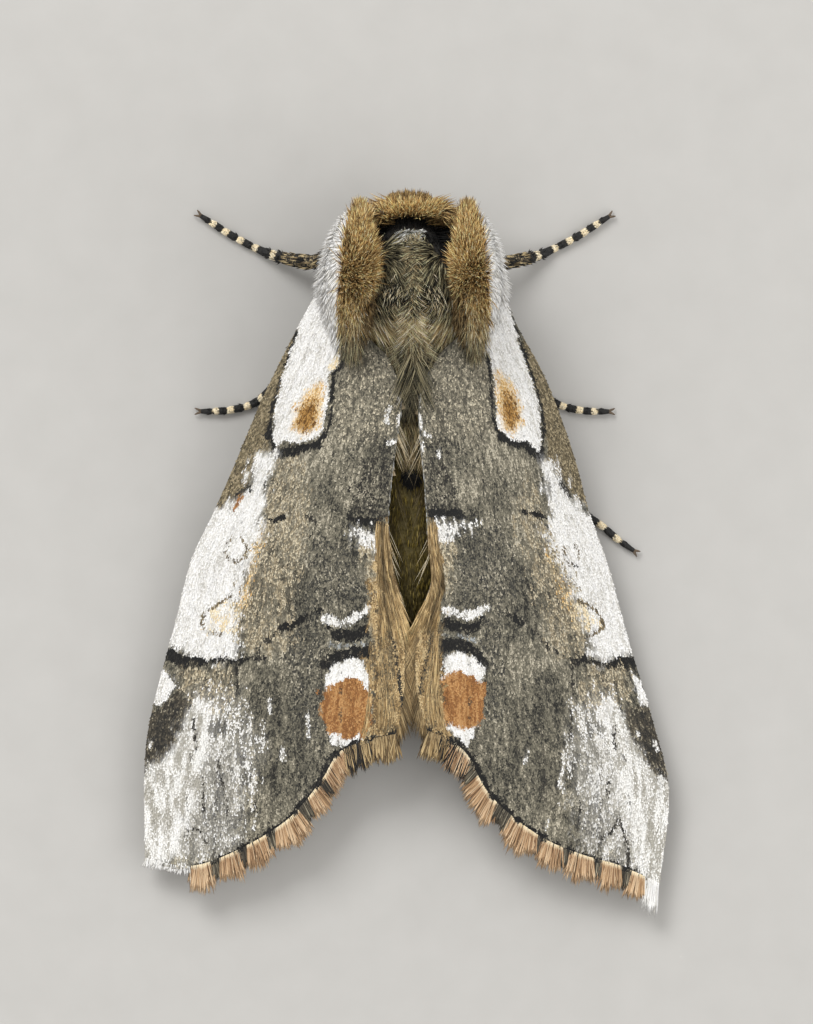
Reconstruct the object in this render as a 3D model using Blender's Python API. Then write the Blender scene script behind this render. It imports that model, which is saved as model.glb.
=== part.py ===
"""A thyatirine moth at rest with its wings held roof-like over the body.

Sizes are in millimetres and are turned into metres when a mesh is made.
The head points to -Y, the back to +Z, the animal's left side to +X, and the feet stand on z = 0.
"""
import math
import random

import bmesh
import bpy
import numpy as np
from mathutils import Matrix, Vector

MM = 0.001
GAP = 0.3
SIDES = {"left": 1.0, "right": -1.0}

# Body, from the head backwards
HEAD_CENTRE = (0.0, -10.15, 2.55)
HEAD_RADII = (1.15, 0.9, 1.1)
HEAD_FLAT_X = 0.78
EYE_CENTRE = (0.75, -10.25, 2.5)
EYE_RADIUS = 0.7
THORAX_CENTRE = (0.0, -7.6, 2.9)
THORAX_RADII = (1.9, 1.8, 1.6)
THORAX_FRONT_Y = -8.95
THORAX_REAR_Y = -6.0
SHOULDER_CENTRE = (1.45, -8.1, 3.75)
SHOULDER_RADII = (0.6, 0.8, 0.6)
CREST_CENTRE = (0.0, -7.8, 4.3)
CREST_RADII = (0.85, 1.2, 0.95)
COLLAR_CENTRE = (0.0, -9.68, 4.3)
COLLAR_RADII = (1.1, 0.38, 0.38)
TEGULA_CENTRE = (2.0, -8.65, 4.88)
TEGULA_RADII = (0.72, 1.4, 0.36)
TEGULA_ROLL = math.radians(30.0)
ABDOMEN_AXIS = [(0, -5.68, 2.7), (0, -3.5, 2.6), (0, -1.0, 2.35), (0, 1.0, 2.1), (0, 2.8, 1.84), (0, 4.7, 1.66)]
ABDOMEN_RADIUS = [1.1, 1.38, 1.3, 1.1, 0.86, 0.4]
PALP_PATH = [(0.45, -10.6, 1.1), (0.5, -11.1, 1.2), (0.45, -11.42, 1.7), (0.36, -11.5, 2.3)]
PALP_RADIUS = [0.2, 0.27, 0.27, 0.14]

# Hair locks: flat, tapered and bent, each sunk into the core that it grows from.
# A profile row gives the share of the length, of the width and of the thickness.
LOCK_THICKNESS = 0.36
LOCK_SINK = 0.3
WELD = 0.004
LOCK_PROFILE = [(0.0, 0.75, 0.9), (0.38, 1.0, 1.0), (0.72, 0.74, 0.72), (1.0, 0.14, 0.3)]
LENGTH_SPREAD = 0.08

# Transverse rows of locks: roots are directions from the core's centre (y, z), x runs over the half width.
# Every second lock of a row is turned by the step.
BROW_ROW = {"count": 5, "half_width": 0.44, "root": (-0.8, 0.45), "aim": (-0.9, 0.2), "fan": 0.35,
            "step": (0.0, 0.25), "length": 0.78, "width": 0.42, "bend": (0, 0, -0.12)}
COLLAR_ROW = {"count": 8, "half_width": 0.84, "root": (-0.14, 0.3), "aim": (-0.6, 0.6), "fan": 0.12,
              "step": (-0.15, 0.0), "length": 1.05, "width": 0.46, "bend": (0, -0.22, -0.06)}
CREST_FRONT_ROW = {"count": 5, "half_width": 0.52, "root": (-0.75, 0.62), "aim": (-0.62, 0.72), "fan": 0.15,
                   "step": (0.0, 0.0), "length": 1.35, "width": 0.5, "bend": (0, -0.3, -0.05)}
CREST_TOP_ROW = {"count": 4, "half_width": 0.42, "root": (-0.25, 0.85), "aim": (-0.35, 0.95), "fan": -0.1,
                 "step": (0.0, 0.0), "length": 1.08, "width": 0.5, "bend": (0, -0.2, 0)}

# Locks along each side of the crest, combed up to the parting, and long strands behind it
CREST_SIDE_COUNT = 5
CREST_SIDE_ROOT_X = 0.85
CREST_SIDE_ROOT_Y = (-0.45, 0.87)
CREST_SIDE_AIM = (-0.12, 0.34, 0.8)
CREST_SIDE_BEND = (-0.42, 0.3, -0.1)
CREST_SIDE_LENGTHS = (1.18, 0.62)
CREST_SIDE_WIDTH = 0.6
STRAND_COUNT = 3
STRAND_LENGTHS = (2.1, 1.5)
STRAND_WIDTH = 0.4

# Shoulder brushes: turns round the core in degrees, and rows of (root y, lean, rise, length) from the front
TEGULA_TURNS = (-40, -8, 24, 56, 86)
TEGULA_ROWS = [(-1.6, -1.0, 0.1, 1.45), (-0.8, -0.95, 0.3, 1.5), (-0.1, -0.8, 0.55, 1.35), (0.7, 0.35, 0.8, 0.9),
               (1.5, 0.9, 0.34, 1.1)]
TEGULA_LOCK_WIDTH = 0.56

# Tuft at the tip of the abdomen, and the hair along the front of each palp
TAIL_LOCK_COUNT = 7
TAIL_LOCK_LENGTH = 1.25
TAIL_LOCK_WIDTH = 0.42
PALP_LOCK_LENGTH = 0.55
PALP_LOCK_WIDTH = 0.34

# Wings: control points of the left and right outlines, both written with X outwards
WING_THICKNESS = 0.5
WING_BULGE = 0.45
WING_ROWS = 14
VEIN_HEIGHT = 0.13
VEIN_HALF_WIDTH = 0.016
OUTLINES = {
    "left": {
        "costa": [(2.75, -8.3, 3.1), (3.5, -6.9, 2.7), (4.1, -5.7, 2.35), (4.75, -4.3, 2.0), (5.45, -2.6, 1.6),
                  (6.15, -1.0, 1.3), (6.85, 0.5, 1.1), (7.4, 2.6, 0.95), (8.15, 5.4, 0.85), (8.38, 7.2, 0.8),
                  (8.38, 10.05, 0.75)],
        "inner": [(0.75, -6.0, 4.5), (0.34, -4.7, 4.58), (0.54, -2.9, 4.5), (0.72, -1.0, 4.2), (0.6, 0.5, 3.88),
                  (0.4, 1.4, 3.65), (0.2, 2.3, 3.42), (0.18, 4.6, 2.8), (0.4, 6.0, 2.35)],
        "termen": [(0.4, 6.0, 2.35), (1.3, 6.2, 2.2), (2.3, 6.65, 2.0), (2.95, 7.7, 1.8), (3.95, 8.85, 1.5),
                   (5.6, 9.85, 1.15), (6.98, 10.3, 0.95), (8.38, 10.05, 0.75)],
    },
    "right": {
        "costa": [(2.75, -8.3, 3.1), (3.4, -6.9, 2.7), (4.2, -5.5, 2.35), (4.8, -4.1, 2.0), (5.3, -2.7, 1.6),
                  (5.75, -1.1, 1.3), (6.4, 0.7, 1.1), (7.05, 3.0, 0.95), (7.9, 5.76, 0.85), (8.42, 8.0, 0.8),
                  (8.15, 10.9, 0.75)],
        "inner": [(0.75, -6.0, 4.5), (0.4, -4.7, 4.58), (0.5, -2.1, 4.4), (0.6, -0.2, 4.02), (0.72, 1.0, 3.75),
                  (0.42, 1.9, 3.55), (0.2, 2.6, 3.35), (0.2, 4.4, 2.85), (0.6, 5.9, 2.35)],
        "termen": [(0.6, 5.9, 2.35), (1.3, 6.2, 2.2), (2.0, 6.8, 2.0), (2.75, 8.1, 1.75), (4.2, 9.3, 1.45),
                   (5.5, 9.9, 1.15), (6.8, 10.3, 0.95), (8.15, 10.9, 0.75)],
    },
}
# Veins: share of the breadth at the base and at the outer edge, and the stretch of the length that is raised
VEINS = [(0.14, 0.09, 0.0, 1.0), (0.30, 0.21, 0.3, 1.0), (0.36, 0.33, 0.0, 1.0), (0.42, 0.45, 0.5, 1.0),
         (0.50, 0.56, 0.5, 1.0), (0.58, 0.67, 0.5, 1.0), (0.65, 0.77, 0.0, 1.0), (0.73, 0.87, 0.45, 1.0),
         (0.84, 0.95, 0.0, 0.7)]
CELL_END_ROW = 7
CELL_VEINS = (2, 6)
FRINGE_LENGTH = 0.78
FRINGE_PROFILE = [(0.45, 0.82, 0.8), (0.8, 0.62, 0.55), (1.0, 0.16, 0.3)]
WING_BASE_EDGE = [(0.75, -6.0, 4.5), (1.55, -6.75, 4.2), (2.3, -7.5, 3.58), (2.75, -8.3, 3.1)]

# Hindwing: where it lies under the forewing, as shares of the forewing's length and breadth
HINDWING_U = [0.045, 0.2, 0.4, 0.65, 0.8, 0.86]
HINDWING_INNER_V = [0.36, 0.3, 0.26, 0.17, 0.2, 0.3]
HINDWING_OUTER_V = [0.62, 0.62, 0.62, 0.6, 0.52, 0.42]

# Antennae, swept back under the wing's leading edge
ANTENNA_RADIUS = 0.25
ANTENNA_START = [(0.87, -10.62, 3.86), (1.5, -10.4, 3.7), (2.3, -9.75, 3.1), (2.95, -8.9, 2.35)]
ANTENNA_WING_U = [0.1, 0.17, 0.24, 0.31]
ANTENNA_WING_V = 0.87

# Legs: knee and foot points, X outwards
FOOT_LEVEL = 0.25
LEG_SIDES = 8
LEG_RADIUS = [0.32, 0.36, 0.33, 0.27, 0.25, 0.25, 0.25, 0.16]
LEGS = {
    "fore": [(0.75, -8.6, 1.0), (1.9, -9.4, 1.35), (3.0, -9.1, 1.0), (4.1, -9.28, 0.45), (4.8, -9.55, FOOT_LEVEL),
             (5.6, -9.97, FOOT_LEVEL), (6.2, -10.35, FOOT_LEVEL), (6.6, -10.6, FOOT_LEVEL)],
    "mid": [(0.85, -7.5, 0.78), (2.2, -6.9, 0.95), (3.4, -5.9, 0.68), (4.3, -5.0, 0.4), (4.9, -4.55, FOOT_LEVEL),
            (5.6, -4.35, FOOT_LEVEL), (6.2, -4.3, FOOT_LEVEL), (6.6, -4.3, FOOT_LEVEL)],
    "hind": [(0.75, -6.4, 1.12), (2.0, -5.0, 1.1), (3.4, -3.3, 0.72), (4.8, -1.7, 0.38), (5.6, -1.1, FOOT_LEVEL),
             (6.3, -0.65, FOOT_LEVEL), (6.9, -0.15, FOOT_LEVEL), (7.4, 0.2, FOOT_LEVEL)],
}
# The left hind leg is drawn in under its wing
TUCKED_LEG = [(0.75, -6.4, 1.12), (2.0, -5.0, 1.1), (3.2, -3.3, 0.72), (4.2, -1.75, 0.38), (4.75, -0.95, FOOT_LEVEL),
              (5.2, -0.3, FOOT_LEVEL), (5.55, 0.35, FOOT_LEVEL), (5.8, 0.85, FOOT_LEVEL)]


def clear_scene():
    for item in list(bpy.data.objects):
        bpy.data.objects.remove(item, do_unlink=True)


def material(name, colour, roughness):
    found = bpy.data.materials.get(name) or bpy.data.materials.new(name)
    found.use_nodes = True
    shader = found.node_tree.nodes["Principled BSDF"]
    shader.inputs["Base Color"].default_value = (*colour, 1.0)
    shader.inputs["Roughness"].default_value = roughness
    shader.inputs["Metallic"].default_value = 0.0
    return found


def add_object(name, points, faces, finish):
    """A mesh object from points in millimetres."""
    mesh = bpy.data.meshes.new(name)
    mesh.from_pydata([tuple(MM * c for c in p) for p in points], [], faces)
    shaped = bmesh.new()
    shaped.from_mesh(mesh)
    bmesh.ops.recalc_face_normals(shaped, faces=shaped.faces)
    shaped.to_mesh(mesh)
    shaped.free()
    mesh.shade_smooth()
    mesh.set_sharp_from_angle(angle=math.radians(50))
    item = bpy.data.objects.new(name, mesh)
    bpy.context.scene.collection.objects.link(item)
    mesh.materials.append(finish)
    return item


def spline(points, count):
    """Evenly spaced points on a smooth curve through the given ones."""
    given = np.array(points, float)
    ends = np.vstack([2 * given[0] - given[1], given, 2 * given[-1] - given[-2]])
    fine = []
    for k in range(len(given) - 1):
        a, b, c, d = ends[k:k + 4]
        for t in np.linspace(0, 1, 16, endpoint=False):
            fine.append(0.5 * (2 * b + (c - a) * t + (2 * a - 5 * b + 4 * c - d) * t ** 2
                               + (3 * b - a - 3 * c + d) * t ** 3))
    fine.append(given[-1])
    fine = np.array(fine)
    run = np.concatenate([[0], np.cumsum(np.linalg.norm(np.diff(fine, axis=0), axis=1))])
    wanted = np.linspace(0, run[-1], count)
    return np.stack([np.interp(wanted, run, fine[:, k]) for k in range(given.shape[1])], axis=1)


def mirrored(points, side):
    return [(p[0] * side, p[1], p[2]) for p in points]


def tube(path, radii, sides=10):
    """Points and faces of a round, closed tube whose rings stay upright."""
    path = np.array(path, float)
    ahead = np.gradient(path, axis=0)
    ahead /= np.linalg.norm(ahead, axis=1)[:, None]
    points = []
    for centre, direction, radius in zip(path, ahead, radii):
        across = np.cross(direction, (0, 0, 1))
        across /= np.linalg.norm(across)
        upward = np.cross(across, direction)
        reach = radius / math.cos(math.pi / sides)
        for k in range(sides):
            turn = 2 * math.pi * (k + 0.5) / sides
            points.append(centre + reach * (math.sin(turn) * across + math.cos(turn) * upward))
    faces = [tuple(reversed(range(sides)))]
    for row in range(len(path) - 1):
        for k in range(sides):
            a, b = row * sides + k, row * sides + (k + 1) % sides
            faces.append((a, b, b + sides, a + sides))
    faces.append(tuple(range(len(points) - sides, len(points))))
    return points, faces


def ellipsoid(name, centre, radii, finish, segments=20, rings=12, roll=0.0):
    shaped = bmesh.new()
    bmesh.ops.create_uvsphere(shaped, u_segments=segments, v_segments=rings, radius=1.0)
    place = (Matrix.Translation(Vector(centre) * MM) @ Matrix.Rotation(roll, 4, "Y")
             @ Matrix.Diagonal((*[r * MM for r in radii], 1.0)))
    bmesh.ops.transform(shaped, matrix=place, verts=shaped.verts)
    mesh = bpy.data.meshes.new(name)
    shaped.to_mesh(mesh)
    shaped.free()
    mesh.shade_smooth()
    mesh.materials.append(finish)
    item = bpy.data.objects.new(name, mesh)
    bpy.context.scene.collection.objects.link(item)
    return item


def trim(item, point, outward):
    """Cut away what lies beyond a plane and close the cut with a flat face."""
    shaped = bmesh.new()
    shaped.from_mesh(item.data)
    everything = shaped.verts[:] + shaped.edges[:] + shaped.faces[:]
    cut = bmesh.ops.bisect_plane(shaped, geom=everything, dist=1e-7, plane_co=Vector(point) * MM,
                                 plane_no=outward, clear_outer=True)
    rim = [e for e in cut["geom_cut"] if isinstance(e, bmesh.types.BMEdge)]
    bmesh.ops.contextual_create(shaped, geom=rim)
    bmesh.ops.recalc_face_normals(shaped, faces=shaped.faces)
    shaped.to_mesh(item.data)
    shaped.free()


def keep_largest(mesh):
    """Weld the union's hair-thin slivers and drop every closed surface except the largest."""
    shaped = bmesh.new()
    shaped.from_mesh(mesh)
    bmesh.ops.triangulate(shaped, faces=shaped.faces)
    bmesh.ops.remove_doubles(shaped, verts=shaped.verts, dist=WELD * MM)
    waiting = set(shaped.faces)
    groups = []
    while waiting:
        stack = [waiting.pop()]
        group = list(stack)
        while stack:
            for edge in stack.pop().edges:
                if len(edge.link_faces) != 2:
                    continue
                for face in edge.link_faces:
                    if face in waiting:
                        waiting.remove(face)
                        group.append(face)
                        stack.append(face)
        groups.append(group)
    groups.sort(key=len)
    for group in groups[:-1]:
        bmesh.ops.delete(shaped, geom=group, context="FACES")
    shaped.to_mesh(mesh)
    shaped.free()


def fuse(core, pieces):
    """Join closed pieces to the core with one Boolean union, then remove them."""
    group = bpy.data.collections.new(core.name + "_pieces")
    for piece in pieces:
        group.objects.link(piece)
    joint = core.modifiers.new("join", "BOOLEAN")
    joint.operation = "UNION"
    joint.operand_type = "COLLECTION"
    joint.collection = group
    joint.solver = "EXACT"
    bpy.context.view_layer.update()
    joined = bpy.data.meshes.new_from_object(core.evaluated_get(bpy.context.evaluated_depsgraph_get()))
    core.modifiers.clear()
    core.data = joined
    for piece in pieces:
        bpy.data.objects.remove(piece, do_unlink=True)
    bpy.data.collections.remove(group)
    keep_largest(joined)


def unit(vector):
    vector = np.array(vector, float)
    return vector / np.linalg.norm(vector)


def lock(root, aim, facing, length, width, bend, finish):
    """A flat, tapered lock of hair: it starts below its root and bends towards the given direction."""
    aim = unit(aim)
    across = unit(np.cross(aim, facing))
    root = np.array(root, float)
    points, faces = [], []
    for share, breadth, depth in LOCK_PROFILE:
        run = share * (length + LOCK_SINK) - LOCK_SINK
        centre = root + aim * run + np.array(bend, float) * (max(run, 0.0) / length) ** 2
        ahead = unit(aim * length + 2 * np.array(bend, float) * max(run, 0.0) / length)
        upward = unit(np.cross(across, ahead))
        sideways = across * (width * breadth / 2)
        raised = upward * (LOCK_THICKNESS * depth / 2)
        points += [centre + sideways, centre + raised, centre - sideways, centre - raised]
    rings = len(LOCK_PROFILE)
    faces.append((3, 2, 1, 0))
    for row in range(rings - 1):
        for k in range(4):
            a, b = 4 * row + k, 4 * row + (k + 1) % 4
            faces.append((a, b, b + 4, a + 4))
    faces.append(tuple(4 * (rings - 1) + k for k in range(4)))
    return add_object("lock", points, faces, finish)


def on_ellipsoid(centre, radii, direction, roll=0.0):
    """The point and the outward normal where a direction from the centre meets an ellipsoid."""
    turn = np.array(Matrix.Rotation(roll, 3, "Y"))
    inner = turn.T @ unit(direction)
    reach = 1 / math.sqrt(sum((c / r) ** 2 for c, r in zip(inner, radii)))
    spot = inner * reach
    normal = unit([c / r ** 2 for c, r in zip(spot, radii)])
    return np.array(centre) + turn @ spot, turn @ normal


class Wing:
    """The middle surface of a forewing: u runs from its base to the outer edge, v from inner edge to front."""

    def __init__(self, side_name):
        self.side = SIDES[side_name]
        outline = OUTLINES[side_name]
        self.costa = spline(outline["costa"], 121)
        self.inner = spline(outline["inner"], 121)
        self.termen = spline(outline["termen"], 121)
        self.base = spline(WING_BASE_EDGE, 121)

    @staticmethod
    def along(curve, share):
        spot = min(max(share, 0.0), 1.0) * (len(curve) - 1)
        low = min(int(spot), len(curve) - 2)
        return curve[low] + (spot - low) * (curve[low + 1] - curve[low])

    def point(self, u, v):
        rails = (1 - v) * self.along(self.inner, u) + v * self.along(self.costa, u)
        ends = (1 - u) * self.along(self.base, v) + u * self.along(self.termen, v)
        corners = ((1 - u) * ((1 - v) * self.inner[0] + v * self.costa[0])
                   + u * ((1 - v) * self.inner[-1] + v * self.costa[-1]))
        spot = rails + ends - corners
        swell = math.sin(math.pi * min(v, 1.0) ** 1.25) * math.sin(math.pi * (0.08 + 0.86 * u)) ** 0.6
        spot[2] += WING_BULGE * swell
        return np.array((spot[0] * self.side, spot[1], spot[2]))

    def upright(self, u, v):
        """How steeply the surface faces up: the vertical share of its normal."""
        step = 0.01
        along_u = self.point(min(u + step, 1), v) - self.point(max(u - step, 0), v)
        along_v = self.point(u, min(v + step, 1)) - self.point(u, max(v - step, 0))
        normal = np.cross(along_u, along_v)
        return max(abs(normal[2]) / np.linalg.norm(normal), 0.5)

    def layer(self, u, v, height):
        """A point that lies the given distance above the middle surface."""
        spot = self.point(u, v)
        spot[2] += height / self.upright(u, v)
        return spot


def rim_of(rows, columns):
    """Indices round the edge of a grid of points, in order."""
    rim = list(range(columns))
    rim += [i * columns + columns - 1 for i in range(1, rows)]
    rim += [(rows - 1) * columns + j for j in range(columns - 2, -1, -1)]
    rim += [i * columns for i in range(rows - 2, 0, -1)]
    return rim


def slab(top, bottom):
    """Points and faces of a closed sheet from two equal grids; both faces are split alike."""
    rows, columns = len(top), len(top[0])
    points = [p for row in top for p in row] + [p for row in bottom for p in row]
    under = rows * columns
    faces = []
    for i in range(rows - 1):
        for j in range(columns - 1):
            a = i * columns + j
            b, c, d = a + 1, a + 1 + columns, a + columns
            faces += [(a, b, c), (a, c, d)]
            faces += [(a + under, c + under, b + under), (a + under, d + under, c + under)]
    rim = rim_of(rows, columns)
    for a, b in zip(rim, rim[1:] + rim[:1]):
        faces.append((a, a + under, b + under, b))
    return points, faces


def edge_tuft(points, faces, root, ahead, length):
    """A flat tapered tuft drawn out of one edge face, given as top, top, bottom, bottom corners."""
    corners = [points[k] for k in root]
    middle = sum(corners) / 4
    ring = list(root)
    for share, breadth, depth in FRINGE_PROFILE:
        next_ring = []
        for k, corner in enumerate(corners):
            level = (corners[0] + corners[1]) / 2 if k < 2 else (corners[2] + corners[3]) / 2
            spot = middle + (corner - level) * breadth + (level - middle) * depth + ahead * (length * share)
            next_ring.append(len(points))
            points.append(spot)
        for k in range(4):
            faces.append((ring[k], ring[(k + 1) % 4], next_ring[(k + 1) % 4], next_ring[k]))
        ring = next_ring
    faces.append(tuple(ring))


def vein_columns(u):
    """Shares of the breadth at which the grid's columns lie, three to a vein, and the edges."""
    columns = [0.0]
    for base, outer, _, _ in VEINS:
        middle = base + (outer - base) * u
        columns += [middle - VEIN_HALF_WIDTH, middle, middle + VEIN_HALF_WIDTH]
    return columns + [1.0]


def vein_lift(row, u):
    """How far each column is raised above the membrane in this row."""
    lifts = [0.0]
    for number, (_, _, first, last) in enumerate(VEINS):
        raised = first <= u <= last
        lifts += [0.0, VEIN_HEIGHT if raised else 0.0, 0.0]
    if row == CELL_END_ROW:
        low, high = (3 * number + 2 for number in CELL_VEINS)
        lifts[low:high] = [VEIN_HEIGHT] * (high - low)
    return lifts + [0.0]


def forewing(side_name, finish):
    """The membrane with its veins raised in its own surface and a fringe of tufts along its outer edge."""
    wing = Wing(side_name)
    half = WING_THICKNESS / 2
    us = np.linspace(0, 1, WING_ROWS)
    top, bottom = [], []
    for row, u in enumerate(us):
        vs = vein_columns(u)
        top.append([wing.layer(u, v, half + lift) for v, lift in zip(vs, vein_lift(row, u))])
        bottom.append([wing.layer(u, v, -half) for v in vs])
    points, faces = slab(top, bottom)
    columns = len(top[0])
    under = WING_ROWS * columns
    last = (WING_ROWS - 1) * columns
    edge_vs = vein_columns(1.0)
    shaken = random.Random(31)
    for cell in range(len(VEINS) + 1):
        near = 3 * cell
        far = near + 1
        a, b = last - columns + near, last - columns + far
        d, c = last + near, last + far
        for face in ((a, b, c), (a, c, d), (a + under, c + under, b + under), (a + under, d + under, c + under)):
            faces.remove(face)
        edge = [f for f in faces if len(f) == 4 and set(f) == {c, d, c + under, d + under}]
        faces.remove(edge[0])
        v = (edge_vs[near] + edge_vs[far]) / 2
        m = len(points)
        points += [wing.layer(1.0, v, half), wing.layer(1.0, v, -half)]
        n = m + 1
        faces += [(a, b, m), (b, c, m), (a, m, d)]
        faces += [(a + under, n, b + under), (b + under, n, c + under), (a + under, d + under, n)]
        for left, right in (((d, d + under), (m, n)), ((m, n), (c, c + under))):
            root = (left[0], right[0], right[1], left[1])
            spread = wing.side * (0.12 + 0.3 * v)
            ahead = np.array((spread, 1.0, -0.06))
            ahead /= np.linalg.norm(ahead)
            edge_tuft(points, faces, root, ahead, FRINGE_LENGTH * shaken.uniform(0.85, 1.1))
    return add_object("forewing_" + side_name, points, faces, finish)


def hindwing(side_name, finish):
    wing = Wing(side_name)
    half = WING_THICKNESS / 2
    depth = -(WING_THICKNESS + GAP)
    us = np.linspace(HINDWING_U[0], HINDWING_U[-1], 13)
    top, bottom = [], []
    for u in us:
        inner = np.interp(u, HINDWING_U, HINDWING_INNER_V)
        outer = np.interp(u, HINDWING_U, HINDWING_OUTER_V)
        vs = np.linspace(inner, outer, 7)
        top.append([wing.layer(u, v, depth + half) for v in vs])
        bottom.append([wing.layer(u, v, depth - half) for v in vs])
    points, faces = slab(top, bottom)
    return add_object("hindwing_" + side_name, points, faces, finish)


def antenna(side_name, finish):
    side = SIDES[side_name]
    wing = Wing(side_name)
    below = -(WING_THICKNESS / 2 + GAP + ANTENNA_RADIUS + 0.16)
    route = mirrored(ANTENNA_START, side)
    route += [tuple(wing.layer(u, ANTENNA_WING_V, below)) for u in ANTENNA_WING_U]
    path = spline(route, 16)
    radii = np.interp(np.linspace(0, 1, 16), [0, 0.1, 0.9, 1], [ANTENNA_RADIUS, ANTENNA_RADIUS, 0.2, 0.1])
    points, faces = tube(path, radii, sides=8)
    return add_object("antenna_" + side_name, points, faces, finish)


def leg(pair, side_name, finish):
    tucked = (pair, side_name) == ("hind", "left")
    route = mirrored(TUCKED_LEG if tucked else LEGS[pair], SIDES[side_name])
    count = 15
    path = spline(route, count)
    along = np.linspace(0, 1, count)
    given = np.array(route)
    run = np.concatenate([[0], np.cumsum(np.linalg.norm(np.diff(given, axis=0), axis=1))])
    radii = np.interp(along, run / run[-1], LEG_RADIUS)
    path[:, 2] = np.maximum(path[:, 2], radii)
    on_floor = path[:, 2] < FOOT_LEVEL + 0.02
    path[on_floor, 2] = radii[on_floor]
    points, faces = tube(path, radii, sides=LEG_SIDES)
    points = [(p[0], p[1], max(p[2], 0.0)) for p in points]
    return add_object("leg_" + pair + "_" + side_name, points, faces, finish)


def palp(side_name, finish):
    path = spline(mirrored(PALP_PATH, SIDES[side_name]), 8)
    radii = np.interp(np.linspace(0, 1, 8), np.linspace(0, 1, 4), PALP_RADIUS)
    points, faces = tube(path, radii, sides=8)
    core = add_object("palp_" + side_name, points, faces, finish)
    pieces = []
    for row in range(2, 7):
        outward = unit(path[row] - path[0] + np.array((0, -0.2, -0.8 + 0.1 * row)))
        aim = unit(path[row + 1] - path[row]) * 0.8 + outward * 0.45
        root = path[row] + outward * 0.1
        pieces.append(lock(root, aim, outward, PALP_LOCK_LENGTH, PALP_LOCK_WIDTH, (0, -0.05, 0.05), finish))
    fuse(core, pieces)
    return core


def row_of_locks(centre, radii, row, shaken, finish):
    """Locks side by side across the body, all rooted on one ellipsoid."""
    pieces = []
    for k in range(row["count"]):
        x = row["half_width"] * (2 * k / (row["count"] - 1) - 1)
        turned = k % 2
        root, normal = on_ellipsoid(centre, radii, (x, row["root"][0], row["root"][1] + turned * row["step"][1]))
        aim = (row["fan"] * x, row["aim"][0] + turned * row["step"][0], row["aim"][1] + turned * row["step"][1])
        length = row["length"] * shaken.uniform(1 - LENGTH_SPREAD, 1 + LENGTH_SPREAD)
        pieces.append(lock(root, aim, normal, length, row["width"], row["bend"], finish))
    return pieces


def head(finish):
    item = ellipsoid("head", HEAD_CENTRE, HEAD_RADII, finish, 16, 10)
    for side in SIDES.values():
        trim(item, (HEAD_FLAT_X * side, 0, 0), (side, 0, 0))
    fuse(item, row_of_locks(HEAD_CENTRE, HEAD_RADII, BROW_ROW, random.Random(5), finish))
    return item


def eye(side_name, finish):
    side = SIDES[side_name]
    centre = (EYE_CENTRE[0] * side, EYE_CENTRE[1], EYE_CENTRE[2])
    item = ellipsoid("eye_" + side_name, centre, (EYE_RADIUS,) * 3, finish, 18, 12)
    trim(item, ((HEAD_FLAT_X + GAP) * side, 0, 0), (-side, 0, 0))
    return item


def crest_locks(finish):
    """The thorax crest: a raised front tuft, sides combed up to the parting, and long strands behind."""
    shaken = random.Random(12)
    pieces = row_of_locks(CREST_CENTRE, CREST_RADII, CREST_FRONT_ROW, shaken, finish)
    pieces += row_of_locks(CREST_CENTRE, CREST_RADII, CREST_TOP_ROW, shaken, finish)
    for side in SIDES.values():
        out, back, up = CREST_SIDE_AIM
        bend = (CREST_SIDE_BEND[0] * side, CREST_SIDE_BEND[1], CREST_SIDE_BEND[2])
        for k in range(CREST_SIDE_COUNT):
            share = k / (CREST_SIDE_COUNT - 1)
            y = CREST_SIDE_ROOT_Y[0] + (CREST_SIDE_ROOT_Y[1] - CREST_SIDE_ROOT_Y[0]) * share
            outward = (CREST_SIDE_ROOT_X * side, y, 0.35 - 0.1 * y)
            root, normal = on_ellipsoid(CREST_CENTRE, CREST_RADII, outward)
            length = CREST_SIDE_LENGTHS[0] + (CREST_SIDE_LENGTHS[1] - CREST_SIDE_LENGTHS[0]) * share
            length *= shaken.uniform(1 - LENGTH_SPREAD, 1 + LENGTH_SPREAD)
            pieces.append(lock(root, (out * side, back, up), normal, length, CREST_SIDE_WIDTH, bend, finish))
        for k in range(STRAND_COUNT):
            share = k / (STRAND_COUNT - 1)
            outward = ((0.14 + 0.4 * share) * side, 0.8, 0.5 + 0.2 * share)
            root, _ = on_ellipsoid(CREST_CENTRE, CREST_RADII, outward)
            aim = (-0.16 * share * side, 0.9, 0.24 + 0.14 * share)
            length = STRAND_LENGTHS[0] + (STRAND_LENGTHS[1] - STRAND_LENGTHS[0]) * share
            bend = (-0.12 * share * side, 0, -0.1)
            pieces.append(lock(root, aim, (0, 0, 1), length, STRAND_WIDTH, bend, finish))
    return pieces


def thorax(finish):
    core = ellipsoid("thorax", THORAX_CENTRE, THORAX_RADII, finish, 18, 12)
    trim(core, (0, THORAX_FRONT_Y, 0), (0, -1, 0))
    trim(core, (0, THORAX_REAR_Y, 0), (0, 1, 0))
    pieces = [ellipsoid("crest", CREST_CENTRE, CREST_RADII, finish, 14, 10)]
    for name, side in SIDES.items():
        centre = (SHOULDER_CENTRE[0] * side, SHOULDER_CENTRE[1], SHOULDER_CENTRE[2])
        pieces.append(ellipsoid("shoulder_" + name, centre, SHOULDER_RADII, finish, 12, 8))
    fuse(core, pieces + crest_locks(finish))
    return core


def collar(finish):
    core = ellipsoid("collar", COLLAR_CENTRE, COLLAR_RADII, finish, 14, 8)
    fuse(core, row_of_locks(COLLAR_CENTRE, COLLAR_RADII, COLLAR_ROW, random.Random(17), finish))
    return core


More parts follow.
